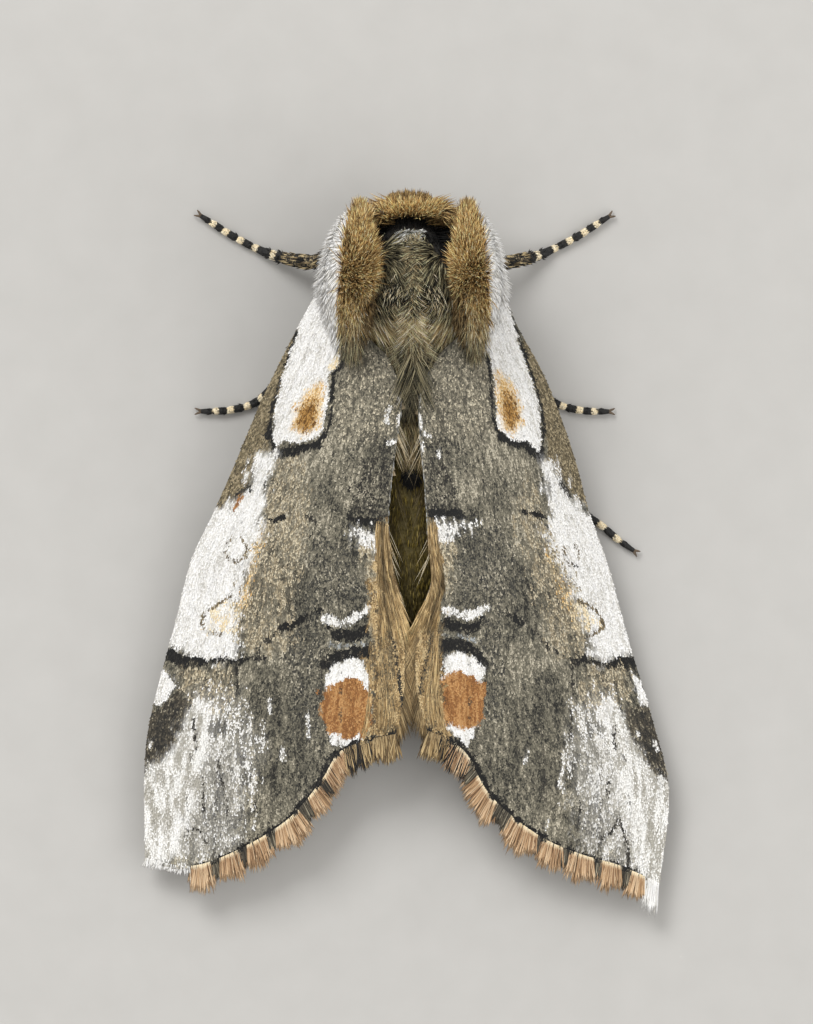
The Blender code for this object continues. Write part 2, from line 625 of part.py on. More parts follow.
def tegula(side_name, finish):
    """A shoulder brush: locks stand up over a slanting core, lean forwards in front and lie back behind."""
    side = SIDES[side_name]
    centre = (TEGULA_CENTRE[0] * side, TEGULA_CENTRE[1], TEGULA_CENTRE[2])
    roll = TEGULA_ROLL * side
    core = ellipsoid("tegula_" + side_name, centre, TEGULA_RADII, finish, 14, 10, roll)
    shaken = random.Random(23)
    pieces = []
    for back, lean, rise, length in TEGULA_ROWS:
        for k, turn in enumerate(TEGULA_TURNS):
            angle = math.radians(turn + shaken.uniform(-5, 5))
            outward = (math.sin(angle) * side, back, math.cos(angle))
            root, normal = on_ellipsoid(centre, TEGULA_RADII, outward, roll)
            spread = 0.5 if k else 0.1
            aim = (spread * normal[0], lean, rise + 0.3 * normal[2])
            bend = (0.0, 0.12 * lean, -0.04 - 0.06 * k)
            grown = length * shaken.uniform(1 - LENGTH_SPREAD, 1 + LENGTH_SPREAD)
            pieces.append(lock(root, aim, normal, grown, TEGULA_LOCK_WIDTH, bend, finish))
    fuse(core, pieces)
    return core


def abdomen(finish):
    path = spline(ABDOMEN_AXIS, 14)
    radii = np.interp(path[:, 1], [p[1] for p in ABDOMEN_AXIS], ABDOMEN_RADIUS)
    points, faces = tube(path, radii, sides=14)
    core = add_object("abdomen", points, faces, finish)
    pieces = []
    for k in range(TAIL_LOCK_COUNT):
        turn = 2 * math.pi * k / TAIL_LOCK_COUNT
        outward = np.array((math.sin(turn), 0, math.cos(turn)))
        root = path[-1] + outward * 0.25 + np.array((0, -0.2, 0))
        aim = outward * 0.12 + np.array((0, 1, 0))
        pieces.append(lock(root, aim, outward, TAIL_LOCK_LENGTH, TAIL_LOCK_WIDTH, outward * -0.1, finish))
    fuse(core, pieces)
    return core


def main():
    clear_scene()
    grey_hair = material("grey hair", (0.16, 0.15, 0.12), 0.8)
    brown_hair = material("brown hair", (0.25, 0.16, 0.08), 0.8)
    wing_scales = material("wing scales", (0.30, 0.28, 0.23), 0.75)
    pale_scales = material("pale scales", (0.55, 0.48, 0.38), 0.75)
    belly_hair = material("belly hair", (0.14, 0.11, 0.05), 0.8)
    eye_shell = material("eye shell", (0.02, 0.015, 0.01), 0.2)
    limb = material("limb", (0.12, 0.10, 0.08), 0.6)
    head(brown_hair)
    collar(brown_hair)
    thorax(grey_hair)
    abdomen(belly_hair)
    for side_name in SIDES:
        eye(side_name, eye_shell)
        palp(side_name, brown_hair)
        antenna(side_name, limb)
        tegula(side_name, brown_hair)
        forewing(side_name, wing_scales)
        hindwing(side_name, pale_scales)
        for pair in LEGS:
            leg(pair, side_name, limb)


main()
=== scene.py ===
"""The looks of a thyatirine moth at rest: its skin, coat of scales and hair, wings, eyes, feelers, palps and legs.

Sizes are in millimetres and are turned into metres when a mesh is made.
The head points to -Y, the back to +Z and the moth's left side to +X. Colours are written as they look on screen.
"""
import functools
import math

import bmesh
import bpy
import numpy as np
from mathutils import Matrix, Vector


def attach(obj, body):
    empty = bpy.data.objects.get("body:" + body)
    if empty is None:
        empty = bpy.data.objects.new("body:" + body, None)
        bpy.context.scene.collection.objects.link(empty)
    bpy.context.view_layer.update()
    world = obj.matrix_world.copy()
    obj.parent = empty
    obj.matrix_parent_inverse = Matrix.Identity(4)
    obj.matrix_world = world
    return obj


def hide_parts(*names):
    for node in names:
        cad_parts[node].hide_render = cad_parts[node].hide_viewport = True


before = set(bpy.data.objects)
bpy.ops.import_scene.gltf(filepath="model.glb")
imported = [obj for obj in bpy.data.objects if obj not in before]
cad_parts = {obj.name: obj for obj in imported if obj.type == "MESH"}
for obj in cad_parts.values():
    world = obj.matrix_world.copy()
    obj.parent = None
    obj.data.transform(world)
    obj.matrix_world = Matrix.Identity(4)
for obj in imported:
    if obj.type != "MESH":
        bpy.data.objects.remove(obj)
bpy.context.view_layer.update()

bl_info = {
    "name": "Resting moth",
    "version": (1, 0, 0),
    "blender": (4, 5, 0),
    "location": "View3D > Sidebar > Moth",
    "description": "Builds a life-size moth with its scales, hair, eyes, feelers and legs",
    "category": "Object",
}

MM = 0.001
SIDES = {"left": 1.0, "right": -1.0}
UP = np.array((0.0, 0.0, 1.0))
ALL_ROUND = (-math.pi, math.pi)
# On the unwrap: the size of one hair's patch, and the margin kept free
PATCH = 0.003
CHART_MARGIN = 0.01
# Usual width of a hair, and how deep its root sits in the skin
HAIR_WIDTH = 0.034
ROOT_DEPTH = 0.04

# Skin of head, thorax and abdomen from front to rear: x, y, z of the middle, half width, height above and below
# the middle, and how much the top is pinched into the crest
BODY_ROWS = [
    (0, -11.02, 2.35, 0.2, 0.2, 0.2, 0), (0, -10.8, 2.45, 0.68, 0.7, 0.75, 0), (0, -10.3, 2.6, 0.92, 0.95, 1.0, 0),
    (0, -9.95, 2.7, 0.88, 1.05, 0.9, 0), (0, -9.74, 2.75, 0.98, 1.3, 1.0, 0.05),
    (0, -9.58, 2.78, 1.08, 1.85, 1.08, 0.25), (0, -9.3, 2.8, 1.25, 2.3, 1.2, 0.32),
    (0, -8.9, 2.85, 1.5, 2.55, 1.35, 0.34), (0, -8.3, 2.9, 1.7, 2.68, 1.5, 0.34), (0, -7.6, 2.9, 1.8, 2.6, 1.5, 0.34),
    (0, -6.9, 2.9, 1.65, 2.15, 1.4, 0.3), (0, -6.3, 2.85, 1.4, 1.6, 1.15, 0.2), (0, -5.8, 2.75, 1.15, 1.2, 0.95, 0.1),
    (0, -5.2, 2.7, 1.15, 1.1, 1.05, 0), (0, -3.5, 2.6, 1.3, 1.26, 1.28, 0), (0, -1.0, 2.35, 1.22, 1.18, 1.2, 0),
    (0, 1.0, 2.1, 1.02, 0.98, 1.0, 0), (0, 2.8, 1.84, 0.78, 0.74, 0.76, 0), (0, 4.2, 1.7, 0.42, 0.4, 0.42, 0),
    (0, 4.72, 1.66, 0.08, 0.08, 0.08, 0),
]
BODY_RINGS = 220
BODY_SIDES = 72
ABDOMEN_START_Y = -5.5
SEGMENT_LENGTH = 1.35
SEGMENT_DEPTH = 0.05
CREST_PEAK_X = 0.22

# Shoulder pads, X outwards, leaning down towards the wing: the same columns as the body
PAD_ROWS = [
    (1.72, -10.62, 5.28, 0.08, 0.06, 0.06, 0), (1.78, -10.35, 5.24, 0.36, 0.2, 0.2, 0),
    (1.9, -9.7, 5.1, 0.64, 0.32, 0.32, 0), (2.0, -9.0, 4.96, 0.8, 0.37, 0.37, 0),
    (2.06, -8.3, 4.82, 0.86, 0.38, 0.38, 0), (2.08, -7.6, 4.68, 0.8, 0.35, 0.35, 0),
    (2.04, -7.0, 4.55, 0.6, 0.28, 0.28, 0), (1.98, -6.6, 4.48, 0.3, 0.16, 0.16, 0),
    (1.95, -6.42, 4.44, 0.06, 0.05, 0.05, 0),
]
PAD_LEAN = math.radians(38)
PAD_GRID = (70, 40)

EYE_CENTRE = (0.75, -10.25, 2.5)
EYE_RADIUS = 0.7
EYE_LENS_LEVEL = 5
PALP_ROWS = [
    (0.45, -10.5, 1.15, 0.12, 0.12, 0.12, 0), (0.48, -10.72, 1.1, 0.17, 0.19, 0.19, 0),
    (0.5, -10.96, 1.22, 0.17, 0.2, 0.2, 0), (0.46, -11.1, 1.6, 0.16, 0.18, 0.18, 0),
    (0.4, -11.12, 1.95, 0.12, 0.13, 0.13, 0), (0.37, -11.12, 2.2, 0.07, 0.07, 0.07, 0),
    (0.36, -11.12, 2.28, 0.02, 0.02, 0.02, 0),
]
TONGUE_CENTRE = (0, -10.95, 1.75)
TONGUE_RADIUS = 0.4
TONGUE_TURNS = 2.6

# Forewings: control points of the left and right outlines, both written with X outwards
WING_BULGE = 0.45
OUTLINES = {
    "left": {
        "costa": [(2.75, -8.3, 3.1), (3.5, -6.9, 2.7), (4.1, -5.7, 2.35), (4.75, -4.3, 2.0), (5.45, -2.6, 1.6),
                  (6.15, -1.0, 1.3), (6.85, 0.5, 1.1), (7.4, 2.6, 0.95), (8.15, 5.4, 0.85), (8.38, 7.2, 0.8),
                  (8.38, 10.05, 0.75)],
        "inner": [(0.75, -6.0, 4.5), (0.34, -4.7, 4.58), (0.54, -2.9, 4.5), (0.72, -1.0, 4.2), (0.6, 0.5, 3.88),
                  (0.4, 1.4, 3.65), (0.2, 2.3, 3.42), (0.18, 4.6, 2.8), (0.4, 6.0, 2.35)],
        "termen": [(0.4, 6.0, 2.35), (1.3, 6.2, 2.2), (2.3, 6.65, 2.0), (2.95, 7.7, 1.8), (3.95, 8.85, 1.5),
                   (5.6, 9.85, 1.15), (6.98, 10.3, 0.95), (8.38, 10.05, 0.75)],
    },
    "right": {
        "costa": [(2.75, -8.3, 3.1), (3.4, -6.9, 2.7), (4.2, -5.5, 2.35), (4.8, -4.1, 2.0), (5.3, -2.7, 1.6),
                  (5.75, -1.1, 1.3), (6.4, 0.7, 1.1), (7.05, 3.0, 0.95), (7.9, 5.76, 0.85), (8.42, 8.0, 0.8),
                  (8.15, 10.9, 0.75)],
        "inner": [(0.75, -6.0, 4.5), (0.2, -4.7, 4.58), (0.26, -3.0, 4.5), (0.36, -2.0, 4.38), (0.5, -0.2, 4.02),
                  (0.64, 1.0, 3.75), (0.38, 1.9, 3.55), (0.2, 2.6, 3.35), (0.2, 4.4, 2.85), (0.6, 5.9, 2.35)],
        "termen": [(0.6, 5.9, 2.35), (1.3, 6.2, 2.2), (2.0, 6.8, 2.0), (2.75, 8.1, 1.75), (4.2, 9.3, 1.45),
                   (5.5, 9.9, 1.15), (6.8, 10.3, 0.95), (8.15, 10.9, 0.75)],
    },
}
WING_BASE_EDGE = [(0.75, -6.0, 4.5), (1.55, -6.75, 4.2), (2.3, -7.5, 3.58), (2.75, -8.3, 3.1)]
# Veins: share of the breadth at the base and at the outer edge, and the stretch of the length that they run
VEINS = [(0.14, 0.09, 0.0, 1.0), (0.30, 0.21, 0.3, 1.0), (0.36, 0.33, 0.0, 1.0), (0.42, 0.45, 0.5, 1.0),
         (0.50, 0.56, 0.5, 1.0), (0.58, 0.67, 0.5, 1.0), (0.65, 0.77, 0.0, 1.0), (0.73, 0.87, 0.45, 1.0),
         (0.84, 0.95, 0.0, 0.7)]
VEIN_REACH = 0.1
MEMBRANE_LEVEL = 0.14
MEMBRANE_THICKNESS = 0.09
WING_LENGTH = 21.0
WING_BREADTH = 9.0
FOREWING_GRID = (150, 66)

# Hindwing: where it lies under the forewing, as shares of the forewing's length and breadth, and how far below
HINDWING_U = [0.045, 0.2, 0.4, 0.65, 0.8, 0.86]
HINDWING_INNER_V = [0.36, 0.3, 0.26, 0.17, 0.2, 0.3]
HINDWING_OUTER_V = [0.62, 0.62, 0.62, 0.6, 0.52, 0.42]
HINDWING_LEVEL = -0.8
# Its faces stand this far from its middle, and its veins this far from its faces
HINDWING_FACE = 0.04
HINDWING_VEINS = 0.04
HINDWING_LENGTH = 17.0
HINDWING_BREADTH = 4.0
HINDWING_GRID = (120, 50)

# Edge fringe: stretches of |x| with orange tufts on a dark ground, and from where it is tan, white or worn
ORANGE_TUFTS = {
    "left": [(6.3, 6.94), (5.38, 6.02), (4.51, 5.18), (3.49, 4.26), (2.85, 3.26), (2.05, 2.78)],
    "right": [(7.23, 7.71), (6.21, 6.91), (5.22, 6.05), (4.35, 4.99), (3.3, 4.19), (2.21, 2.91), (1.31, 2.05)],
}
TAN_FRINGE_TO = {"left": 2.05, "right": 1.31}
WHITE_FRINGE_FROM = {"left": 7.0, "right": 7.75}
WORN_FRINGE_FROM = {"left": 6.96, "right": math.inf}
DARK_STRANDS_AT = {"left": 1.75, "right": 1.4}

# Fringe layers: height above the membrane, length, and share of the hairs
FRINGE_LAYERS = [(-0.07, 0.9, 0.3), (-0.03, 0.96, 0.4), (0.02, 0.88, 0.3)]
# Where along the wing the fringe is rooted
FRINGE_ROOT_U = 0.9995
# Share of a forewing's breadth that the long inner hair covers, and |x| of the fold in it against y; along the fold the
# hair is darkened as painted shade
INNER_HAIR_REACH = {"left": 0.12, "right": 0.085}
FOLD_LINE = [(1.3, 0.93), (4.5, 0.32)]
# Where the crest's two black spots sit, with cream ticks in them
CREST_SPOT_Y = -8.1
# Fine hairs that reach over the gap from each wing: stretch of its length, and their number
GAP_HAIRS = {"left": [(0.17, 0.25, 16), (0.44, 0.6, 16)], "right": [(0.2, 0.26, 5), (0.46, 0.58, 7)]}
# Tufts along the abdomen: place, reach, number of hairs, palette, how far they stand up, length
ABDOMEN_TUFTS = [(-4.62, 0.05, 40, "cream", 0.6, 0.3), (-4.4, 0.07, 60, "dark", 0.6, 0.3),
                 (-3.05, 0.1, 120, "wool", 0.4, 0.4), (-2.3, 0.1, 420, "black", 0.75, 0.36)]

ANTENNA_START = [(0.87, -10.62, 3.86), (1.5, -10.4, 3.7), (2.15, -9.75, 3.0), (2.62, -8.9, 2.3)]
ANTENNA_WING_U = [0.1, 0.17, 0.24, 0.31]
ANTENNA_WING_V = 0.87
ANTENNA_LEVEL = -0.96
ANTENNA_RINGS = 58

# Legs: hip, knee and foot points, X outwards; the last four lie on the floor
FOOT_LEVEL = 0.14
LEGS = {
    "fore": [(0.75, -8.6, 1.0), (1.9, -9.4, 1.35), (3.0, -9.1, 1.0), (4.1, -9.28, 0.4), (4.8, -9.55, FOOT_LEVEL),
             (5.6, -9.97, FOOT_LEVEL), (6.2, -10.35, FOOT_LEVEL), (6.6, -10.6, FOOT_LEVEL)],
    "mid": [(0.85, -7.5, 0.85), (2.2, -6.9, 1.0), (3.4, -5.9, 0.7), (4.3, -5.0, 0.36), (4.9, -4.55, FOOT_LEVEL),
            (5.6, -4.35, FOOT_LEVEL), (6.2, -4.3, FOOT_LEVEL), (6.6, -4.3, FOOT_LEVEL)],
    "hind": [(0.75, -6.4, 1.2), (2.0, -5.0, 1.15), (3.4, -3.3, 0.75), (4.8, -1.7, 0.34), (5.6, -1.1, FOOT_LEVEL),
             (6.3, -0.65, FOOT_LEVEL), (6.9, -0.15, FOOT_LEVEL), (7.4, 0.2, FOOT_LEVEL)],
}
# The left hind leg is drawn in under its wing
TUCKED_LEG = [(0.75, -6.4, 1.2), (2.0, -5.0, 1.15), (3.2, -3.3, 0.75), (4.2, -1.75, 0.34), (4.75, -0.95, FOOT_LEVEL),
              (5.2, -0.3, FOOT_LEVEL), (5.55, 0.35, FOOT_LEVEL), (5.8, 0.85, FOOT_LEVEL)]
LEG_GIRTH = [0.26, 0.28, 0.22, 0.17, 0.125, 0.12, 0.11, 0.07]
PALE_BANDS = [0.6, 0.7, 0.78, 0.86, 0.93]
BAND_WIDTH = 0.014
LEG_JOINTS = [0.2, 0.55]
LEG_GRID = (240, 24)
# Claw: distance out from the foot, height against it, and girth
CLAW_ROWS = [(-0.04, 0.0, 0.045), (0.03, 0.03, 0.045), (0.1, 0.03, 0.035), (0.16, -0.03, 0.022), (0.185, -0.09, 0.008)]
CAMERA_TARGET = (0.08, -1.056, 2.5)

# Colours of scales and hair from dark to light, each with its share of the whole
PALETTES = {
    "ground": [(0.05, (32, 31, 27)), (0.13, (62, 60, 52)), (0.31, (95, 91, 78)), (0.31, (121, 116, 100)),
               (0.14, (150, 143, 125)), (0.06, (186, 178, 158))],
    "dusk": [(0.35, (44, 43, 39)), (0.4, (76, 74, 66)), (0.25, (106, 101, 87))],
    "pebble": [(0.3, (84, 80, 69)), (0.4, (136, 129, 111)), (0.3, (200, 190, 166))],
    "tan_mix": [(0.25, (114, 105, 86)), (0.4, (160, 147, 121)), (0.35, (202, 190, 163))],
    "bark": [(0.35, (50, 46, 38)), (0.35, (74, 68, 56)), (0.2, (104, 96, 80)), (0.1, (152, 144, 124))],
    # Off-white for the wing tip: white greyed with painted shade where the tip slopes away from the light
    "shaded_white": [(0.25, (170, 166, 155)), (0.3, (208, 205, 198)), (0.45, (240, 239, 235))],
    "white": [(0.1, (204, 201, 194)), (0.35, (228, 226, 221)), (0.55, (242, 241, 239))],
    "strip": [(0.3, (80, 71, 52)), (0.4, (120, 108, 82)), (0.3, (162, 148, 118))],
    "cream": [(0.5, (232, 212, 172)), (0.5, (243, 230, 200))],
    "tan": [(0.25, (108, 88, 58)), (0.4, (160, 134, 92)), (0.35, (200, 175, 130))],
    "amber": [(0.4, (208, 166, 102)), (0.6, (234, 208, 160))],
    "rust": [(0.3, (104, 70, 26)), (0.4, (146, 106, 48)), (0.3, (182, 138, 74))],
    "orange": [(0.3, (134, 88, 46)), (0.4, (162, 114, 64)), (0.3, (186, 140, 88))],
    "umber": [(0.5, (84, 73, 54)), (0.5, (126, 112, 84))],
    "ash_haze": [(0.4, (140, 137, 128)), (0.6, (182, 178, 168))],
    "ash": [(0.5, (128, 132, 134)), (0.5, (170, 174, 174))],
    "dark": [(0.6, (36, 34, 30)), (0.4, (62, 58, 50))],
    "black": [(0.75, (9, 9, 8)), (0.25, (30, 28, 25))],
    "fawn": [(0.3, (150, 132, 104)), (0.4, (178, 160, 130)), (0.3, (200, 184, 156))],
    "smoke": [(0.4, (104, 92, 74)), (0.6, (132, 118, 96))],
    "salmon": [(0.3, (138, 104, 72)), (0.4, (182, 146, 108)), (0.3, (210, 180, 144))],
    "crest": [(0.3, (46, 44, 34)), (0.36, (96, 91, 72)), (0.34, (168, 157, 124))],
    "frost": [(0.4, (130, 130, 120)), (0.6, (216, 216, 212))],
    "wool": [(0.3, (100, 85, 58)), (0.4, (150, 132, 98)), (0.3, (200, 180, 138))],
    "brown": [(0.3, (92, 70, 38)), (0.4, (146, 117, 72)), (0.3, (210, 178, 122))],
    "olive": [(0.4, (92, 79, 30)), (0.4, (118, 102, 42)), (0.2, (150, 132, 70))],
}

# Wing markings, painted in this order: shape, palette, softness of an area's edge or half width of a line,
# share of the scales that take it, and its points as |x|, y
LEFT_MARKS = [
    # Clouds of pale and dark scales
    ("area", "pebble", 0.5, 0.55, [(2.05, -6.24), (0.22, -6.24), (0.35, -3.36), (2.46, -3.36), (2.62, -4.64)]),
    ("area", "tan_mix", 0.5, 0.5, [(4.29, -3.04), (3.49, -3.1), (3.23, -1.44), (3.49, 0.48), (3.74, 1.76), (3.49, 3.04),
        (4.7, 3.42), (5.41, 3.1), (5.41, 1.76), (4.7, 0), (4.7, -1.44)]),
    ("area", "dusk", 0.6, 0.45, [(3.01, -0.32), (1.89, 0), (1.38, 1.76), (2.69, 1.95), (2.85, 4.32), (2.72, 6.4),
        (3.49, 6.24), (3.97, 3.68), (3.49, 1.76)]),
    ("area", "dark", 0.4, 0.4, [(1.18, -3.36), (0.35, -3.36), (0.61, -0.96), (1.89, -0.99), (1.82, -2.14)]),
    # Turned-down front strip, and the base patch with its amber spot
    ("area", "strip", 0.1, 0.95, [(4.13, -7.2), (4.51, -5.76), (4.93, -4.96), (5.31, -4), (5.73, -3.04), (6.14, -2.08),
        (6.53, -1.28), (6.21, -1.02), (5.41, -1.44), (5.02, -2.08), (4.7, -2.94), (4.38, -3.14), (4.45, -3.68),
        (4.29, -4.32), (3.97, -5.28), (3.55, -6.88)]),
    ("line", "black", 0.055, 0.92, [(3.55, -6.88), (3.9, -5.86), (4.19, -4.96), (4.38, -4.26), (4.45, -3.62),
        (4.29, -3.07), (3.81, -3.17), (3.1, -3.26), (2.75, -3.55), (2.56, -4), (2.5, -4.64), (2.46, -5.54),
        (2.21, -5.73), (2.11, -6.24)]),
    ("line", "black", 0.12, 0.95, [(4.42, -3.62), (4.22, -2.98), (3.55, -3.07), (2.98, -3.26)]),
    ("area", "white", 0.04, 1, [(3.81, -8.16), (3.55, -6.82), (3.81, -6.08), (4, -5.54), (4.13, -4.96), (4.26, -4.48),
        (4.29, -4), (4.35, -3.52), (4.22, -3.2), (4.03, -3.42), (3.49, -3.36), (3.17, -3.46), (2.91, -3.58),
        (2.78, -3.84), (2.69, -4.26), (2.62, -4.8), (2.59, -5.6), (2.37, -5.79), (2.24, -6.18), (2.21, -6.56),
        (1.82, -8.16)]),
    ("line", "cream", 0.07, 0.7, [(2.3, -6.4), (2.37, -5.98), (2.53, -5.73)]),
    ("area", "amber", 0.4, 0.95, [(2.82, -5.28), (2.85, -4.8), (2.88, -4.32), (3.01, -3.87), (3.36, -3.62),
        (3.68, -3.78), (3.62, -4.26), (3.33, -4.77)]),
    ("area", "rust", 0.4, 0.95, [(3.04, -4.7), (3.04, -4.06), (3.3, -3.74), (3.58, -3.87), (3.46, -4.38)]),
    ("line", "dark", 0.05, 1, [(2.72, -7.42), (2.59, -7.23)]),
    # White front area with its ring and kidney marks
    ("area", "white", 0.45, 0.96, [(4.26, -3.1), (4.51, -2.08), (4.64, -1.28), (4.64, -0.48), (4.83, 0.16),
        (5.12, 0.96), (5.34, 1.76), (5.38, 2.56), (5.34, 3.1), (5.63, 3.55), (6.53, 3.68), (7.62, 3.23), (8.29, 3.04),
        (6.85, -1.44), (5.89, -1.18), (5.31, -1.6), (5.06, -2.02), (4.83, -2.94)]),
    ("line", "dark", 0.09, 0.8, [(5.44, -1.7), (5.06, -1.95)]),
    ("line", "orange", 0.06, 0.8, [(5.31, -1.63), (5.44, -1.44), (5.54, -1.18)]),
    ("area", "tan_mix", 0.45, 0.6, [(4.45, -0.8), (4.64, 0), (4.96, 1.18), (5.18, 1.82), (5.09, 3.1), (5.47, 3.04),
        (5.57, 2.08), (5.28, 0.96), (4.9, -0.16)]),
    ("area", "amber", 0.25, 0.25, [(4.58, -0.74), (4.7, 0), (5.02, 1.12), (5.15, 1.89), (5.41, 1.89), (5.22, 0.96),
        (4.83, -0.16)]),
    ("area", "cream", 0.2, 0.35, [(6.3, 2.05), (5.66, 1.66), (5.41, 1.89), (5.44, 2.46), (5.79, 2.72), (6.4, 2.62)]),
    ("line", "umber", 0.035, 0.55, [(5.54, -0.38), (5.73, -0.16), (5.82, 0.16), (5.7, 0.38), (5.41, 0.48), (5.18, 0.32),
        (5.15, 0), (5.31, -0.32)]),
    ("line", "umber", 0.04, 0.65, [(5.66, 1.54), (5.98, 1.76), (6.3, 1.98), (6.53, 2.18), (6.59, 2.4), (6.53, 2.66),
        (6.27, 2.75), (5.92, 2.78)]),
    # First line, and the white and tan behind it
    ("line", "black", 0.08, 0.85, [(4.64, -1.09), (4.38, -0.86), (4, -0.96)]),
    ("line", "dark", 0.06, 0.8, [(3.23, -0.99), (3.01, -0.83)]),
    ("line", "black", 0.12, 0.95, [(1.95, -0.99), (1.57, -0.83), (1.18, -0.86), (0.83, -0.67), (0.77, -0.48)]),
    ("area", "white", 0.3, 0.72, [(1.98, -0.77), (1.5, -0.64), (0.8, -0.42), (0.8, 0.03), (1.02, 0.54), (1.31, 0.26),
        (1.73, -0.13)]),
    ("area", "tan_mix", 0.35, 0.7, [(1.57, 0), (0.8, -0.06), (0.61, 1.12), (0.93, 1.82), (1.38, 1.12)]),
    # Second line
    ("line", "black", 0.19, 1, [(8.03, 3.3), (7.49, 3.49), (7.01, 3.71), (6.56, 3.68)]),
    ("line", "black", 0.07, 0.8, [(6.56, 3.68), (5.98, 3.58), (5.47, 3.68), (5.09, 3.52), (4.64, 3.52)]),
    ("line", "dark", 0.07, 0.6, [(4.83, 3.3), (4.45, 2.91), (4, 2.56)]),
    ("line", "black", 0.1, 0.9, [(4.03, 2.56), (3.74, 2.46), (3.46, 2.27)]),
    ("line", "black", 0.07, 0.8, [(3.33, 2.18), (2.91, 1.98)]),
    # Black bands and white line by the inner edge
    ("area", "black", 0.1, 0.9, [(2.72, 2.34), (2.4, 2.59), (1.98, 2.69), (1.34, 2.46), (1.31, 2.85), (1.89, 3.01),
        (2.4, 2.94)]),
    ("line", "ash", 0.06, 0.4, [(2.59, 3.04), (2.05, 3.17), (1.38, 3.04)]),
    ("line", "black", 0.18, 0.93, [(2.66, 3.75), (2.34, 3.46), (1.89, 3.36), (1.34, 3.33)]),
    ("line", "white", 0.11, 0.84, [(2.69, 2.27), (2.34, 2.4), (1.95, 2.34), (1.63, 2.14), (1.38, 1.92)]),
    # Orange patch ringed with white
    ("line", "dark", 0.045, 0.5, [(2.78, 3.52), (2.82, 4.64), (2.72, 5.66), (2.43, 6.4)]),
    ("area", "tan", 0.15, 0.85, [(1.5, 3.52), (1.18, 3.52), (1.12, 6.08), (1.38, 6.4), (1.76, 6.18), (1.5, 4.96)]),
    ("area", "black", 0.15, 0.85, [(2.4, 6.37), (2.05, 6.53), (1.5, 6.37), (1.31, 6.62), (1.82, 6.94), (2.27, 6.75)]),
    ("area", "white", 0.09, 1, [(2.72, 4.64), (2.69, 4.06), (2.37, 3.71), (1.89, 3.55), (1.47, 3.65), (1.28, 4.32),
        (1.38, 6.08), (1.66, 6.4), (1.89, 6.5), (2.14, 6.34), (2.4, 6.27), (2.59, 5.86)]),
    ("area", "orange", 0.13, 1, [(2.82, 4.6), (2.53, 4.4), (2.27, 4.26), (1.89, 4.16), (1.54, 4.3), (1.2, 4.7),
        (1.15, 5.6), (1.44, 6.0), (1.89, 6.05), (2.27, 6.02), (2.6, 5.89), (2.82, 5.28)]),
    # Dark front wedge and the flecks round it
    ("area", "white", 0.08, 0.95, [(8.16, 4.96), (7.97, 3.94), (7.78, 3.94), (7.33, 4.48), (7.55, 4.7), (7.87, 5.15)]),
    ("area", "tan_mix", 0.3, 0.5, [(7.46, 3.94), (5.73, 3.84), (5.41, 4.96), (6.69, 5.34), (7.26, 4.64)]),
    ("area", "bark", 0.08, 1, [(8.42, 5.34), (7.87, 5.12), (7.36, 4.61), (6.88, 5.15), (6.85, 5.54), (7.23, 5.86),
        (7.52, 6.62), (8, 7.04), (8.61, 7.58), (8.61, 6.4)]),
    ("area", "dark", 0.2, 0.5, [(8.13, 5.44), (7.33, 4.96), (7.26, 5.76), (7.78, 6.62), (8.29, 7.14)]),
    ("line", "white", 0.05, 0.8, [(8.22, 6.27), (8.22, 6.43)]),
    ("line", "white", 0.06, 0.8, [(8.26, 7.14), (8.35, 7.39)]),
    # White tip, whose outer part is greyed with painted shade where the tip slopes away from the light
    ("area", "white", 1.0, 0.42, [(6.69, 4.64), (5.47, 4.64), (4.7, 6.24), (5.22, 8.16), (5.47, 9.7), (7.01, 10.14),
        (7.33, 6.88)]),
    ("area", "white", 0.5, 0.9, [(6.78, 4.96), (7.07, 5.73), (7.49, 6.72), (7.97, 7.2), (8.61, 7.71), (8.67, 10.46),
        (7.33, 9.82), (7.01, 9.18), (6.53, 8.35), (6.27, 6.94), (6.27, 5.92), (6.4, 5.15)]),
    ("area", "ash_haze", 0.8, 0.5, [(5.2, 6.2), (6.5, 6.2), (7.3, 8.2), (7.1, 10.3), (5.4, 9.9)]),
    ("area", "shaded_white", 0.6, 1, [(6.83, 5.24), (7.17, 5.72), (7.55, 6.68), (8.03, 6.97), (8.7, 7.6), (8.8, 10.5),
        (7.4, 9.95), (7.17, 8.79), (6.78, 7.83), (6.54, 6.87), (6.45, 5.6)]),
    ("line", "dark", 0.035, 0.55, [(7.17, 9.25), (6.98, 8.96), (6.59, 9.09), (6.46, 9.47)]),
    # Streaks along the veins
    ("line", "dark", 0.035, 0.8, [(5.5, 3.62), (5.47, 4.7)]),
    ("line", "dark", 0.03, 0.7, [(6.85, 5.47), (6.78, 6.56)]),
    ("line", "dark", 0.03, 0.6, [(6.56, 7.39), (6.53, 8.42)]),
    ("line", "dark", 0.03, 0.6, [(4.96, 7.78), (4.86, 8.54)]),
    ("line", "dark", 0.03, 0.5, [(6.08, 6.88), (5.73, 8.74)]),
    ("line", "white", 0.05, 0.7, [(4.48, 4.86), (4.42, 5.25)]),
    ("line", "white", 0.06, 0.7, [(4.06, 6.4), (4.03, 6.78)]),
    ("line", "white", 0.04, 0.6, [(3.26, 5.34), (3.2, 6.08)]),
    ("line", "white", 0.04, 0.7, [(5.15, 7.01), (5.06, 7.78)]),
    ("line", "white", 0.05, 0.6, [(5.66, 9.38), (5.41, 9.25)]),
    # Tan inner strip with its fold; the dark line along the fold is painted shade
    ("area", "tan", 0.3, 0.93, [(0.74, -0.64), (1.18, 0.48), (1.34, 1.76), (1.22, 3.04), (1.09, 4.32), (1.12, 6.08),
        (1.89, 7.36), (-0.35, 6.88), (-0.35, 2.56), (0.13, 1.89), (0.35, 1.28)]),
    ("line", "umber", 0.24, 0.75, [(0.83, 1.76), (0.74, 3.68), (0.67, 5.76)]),
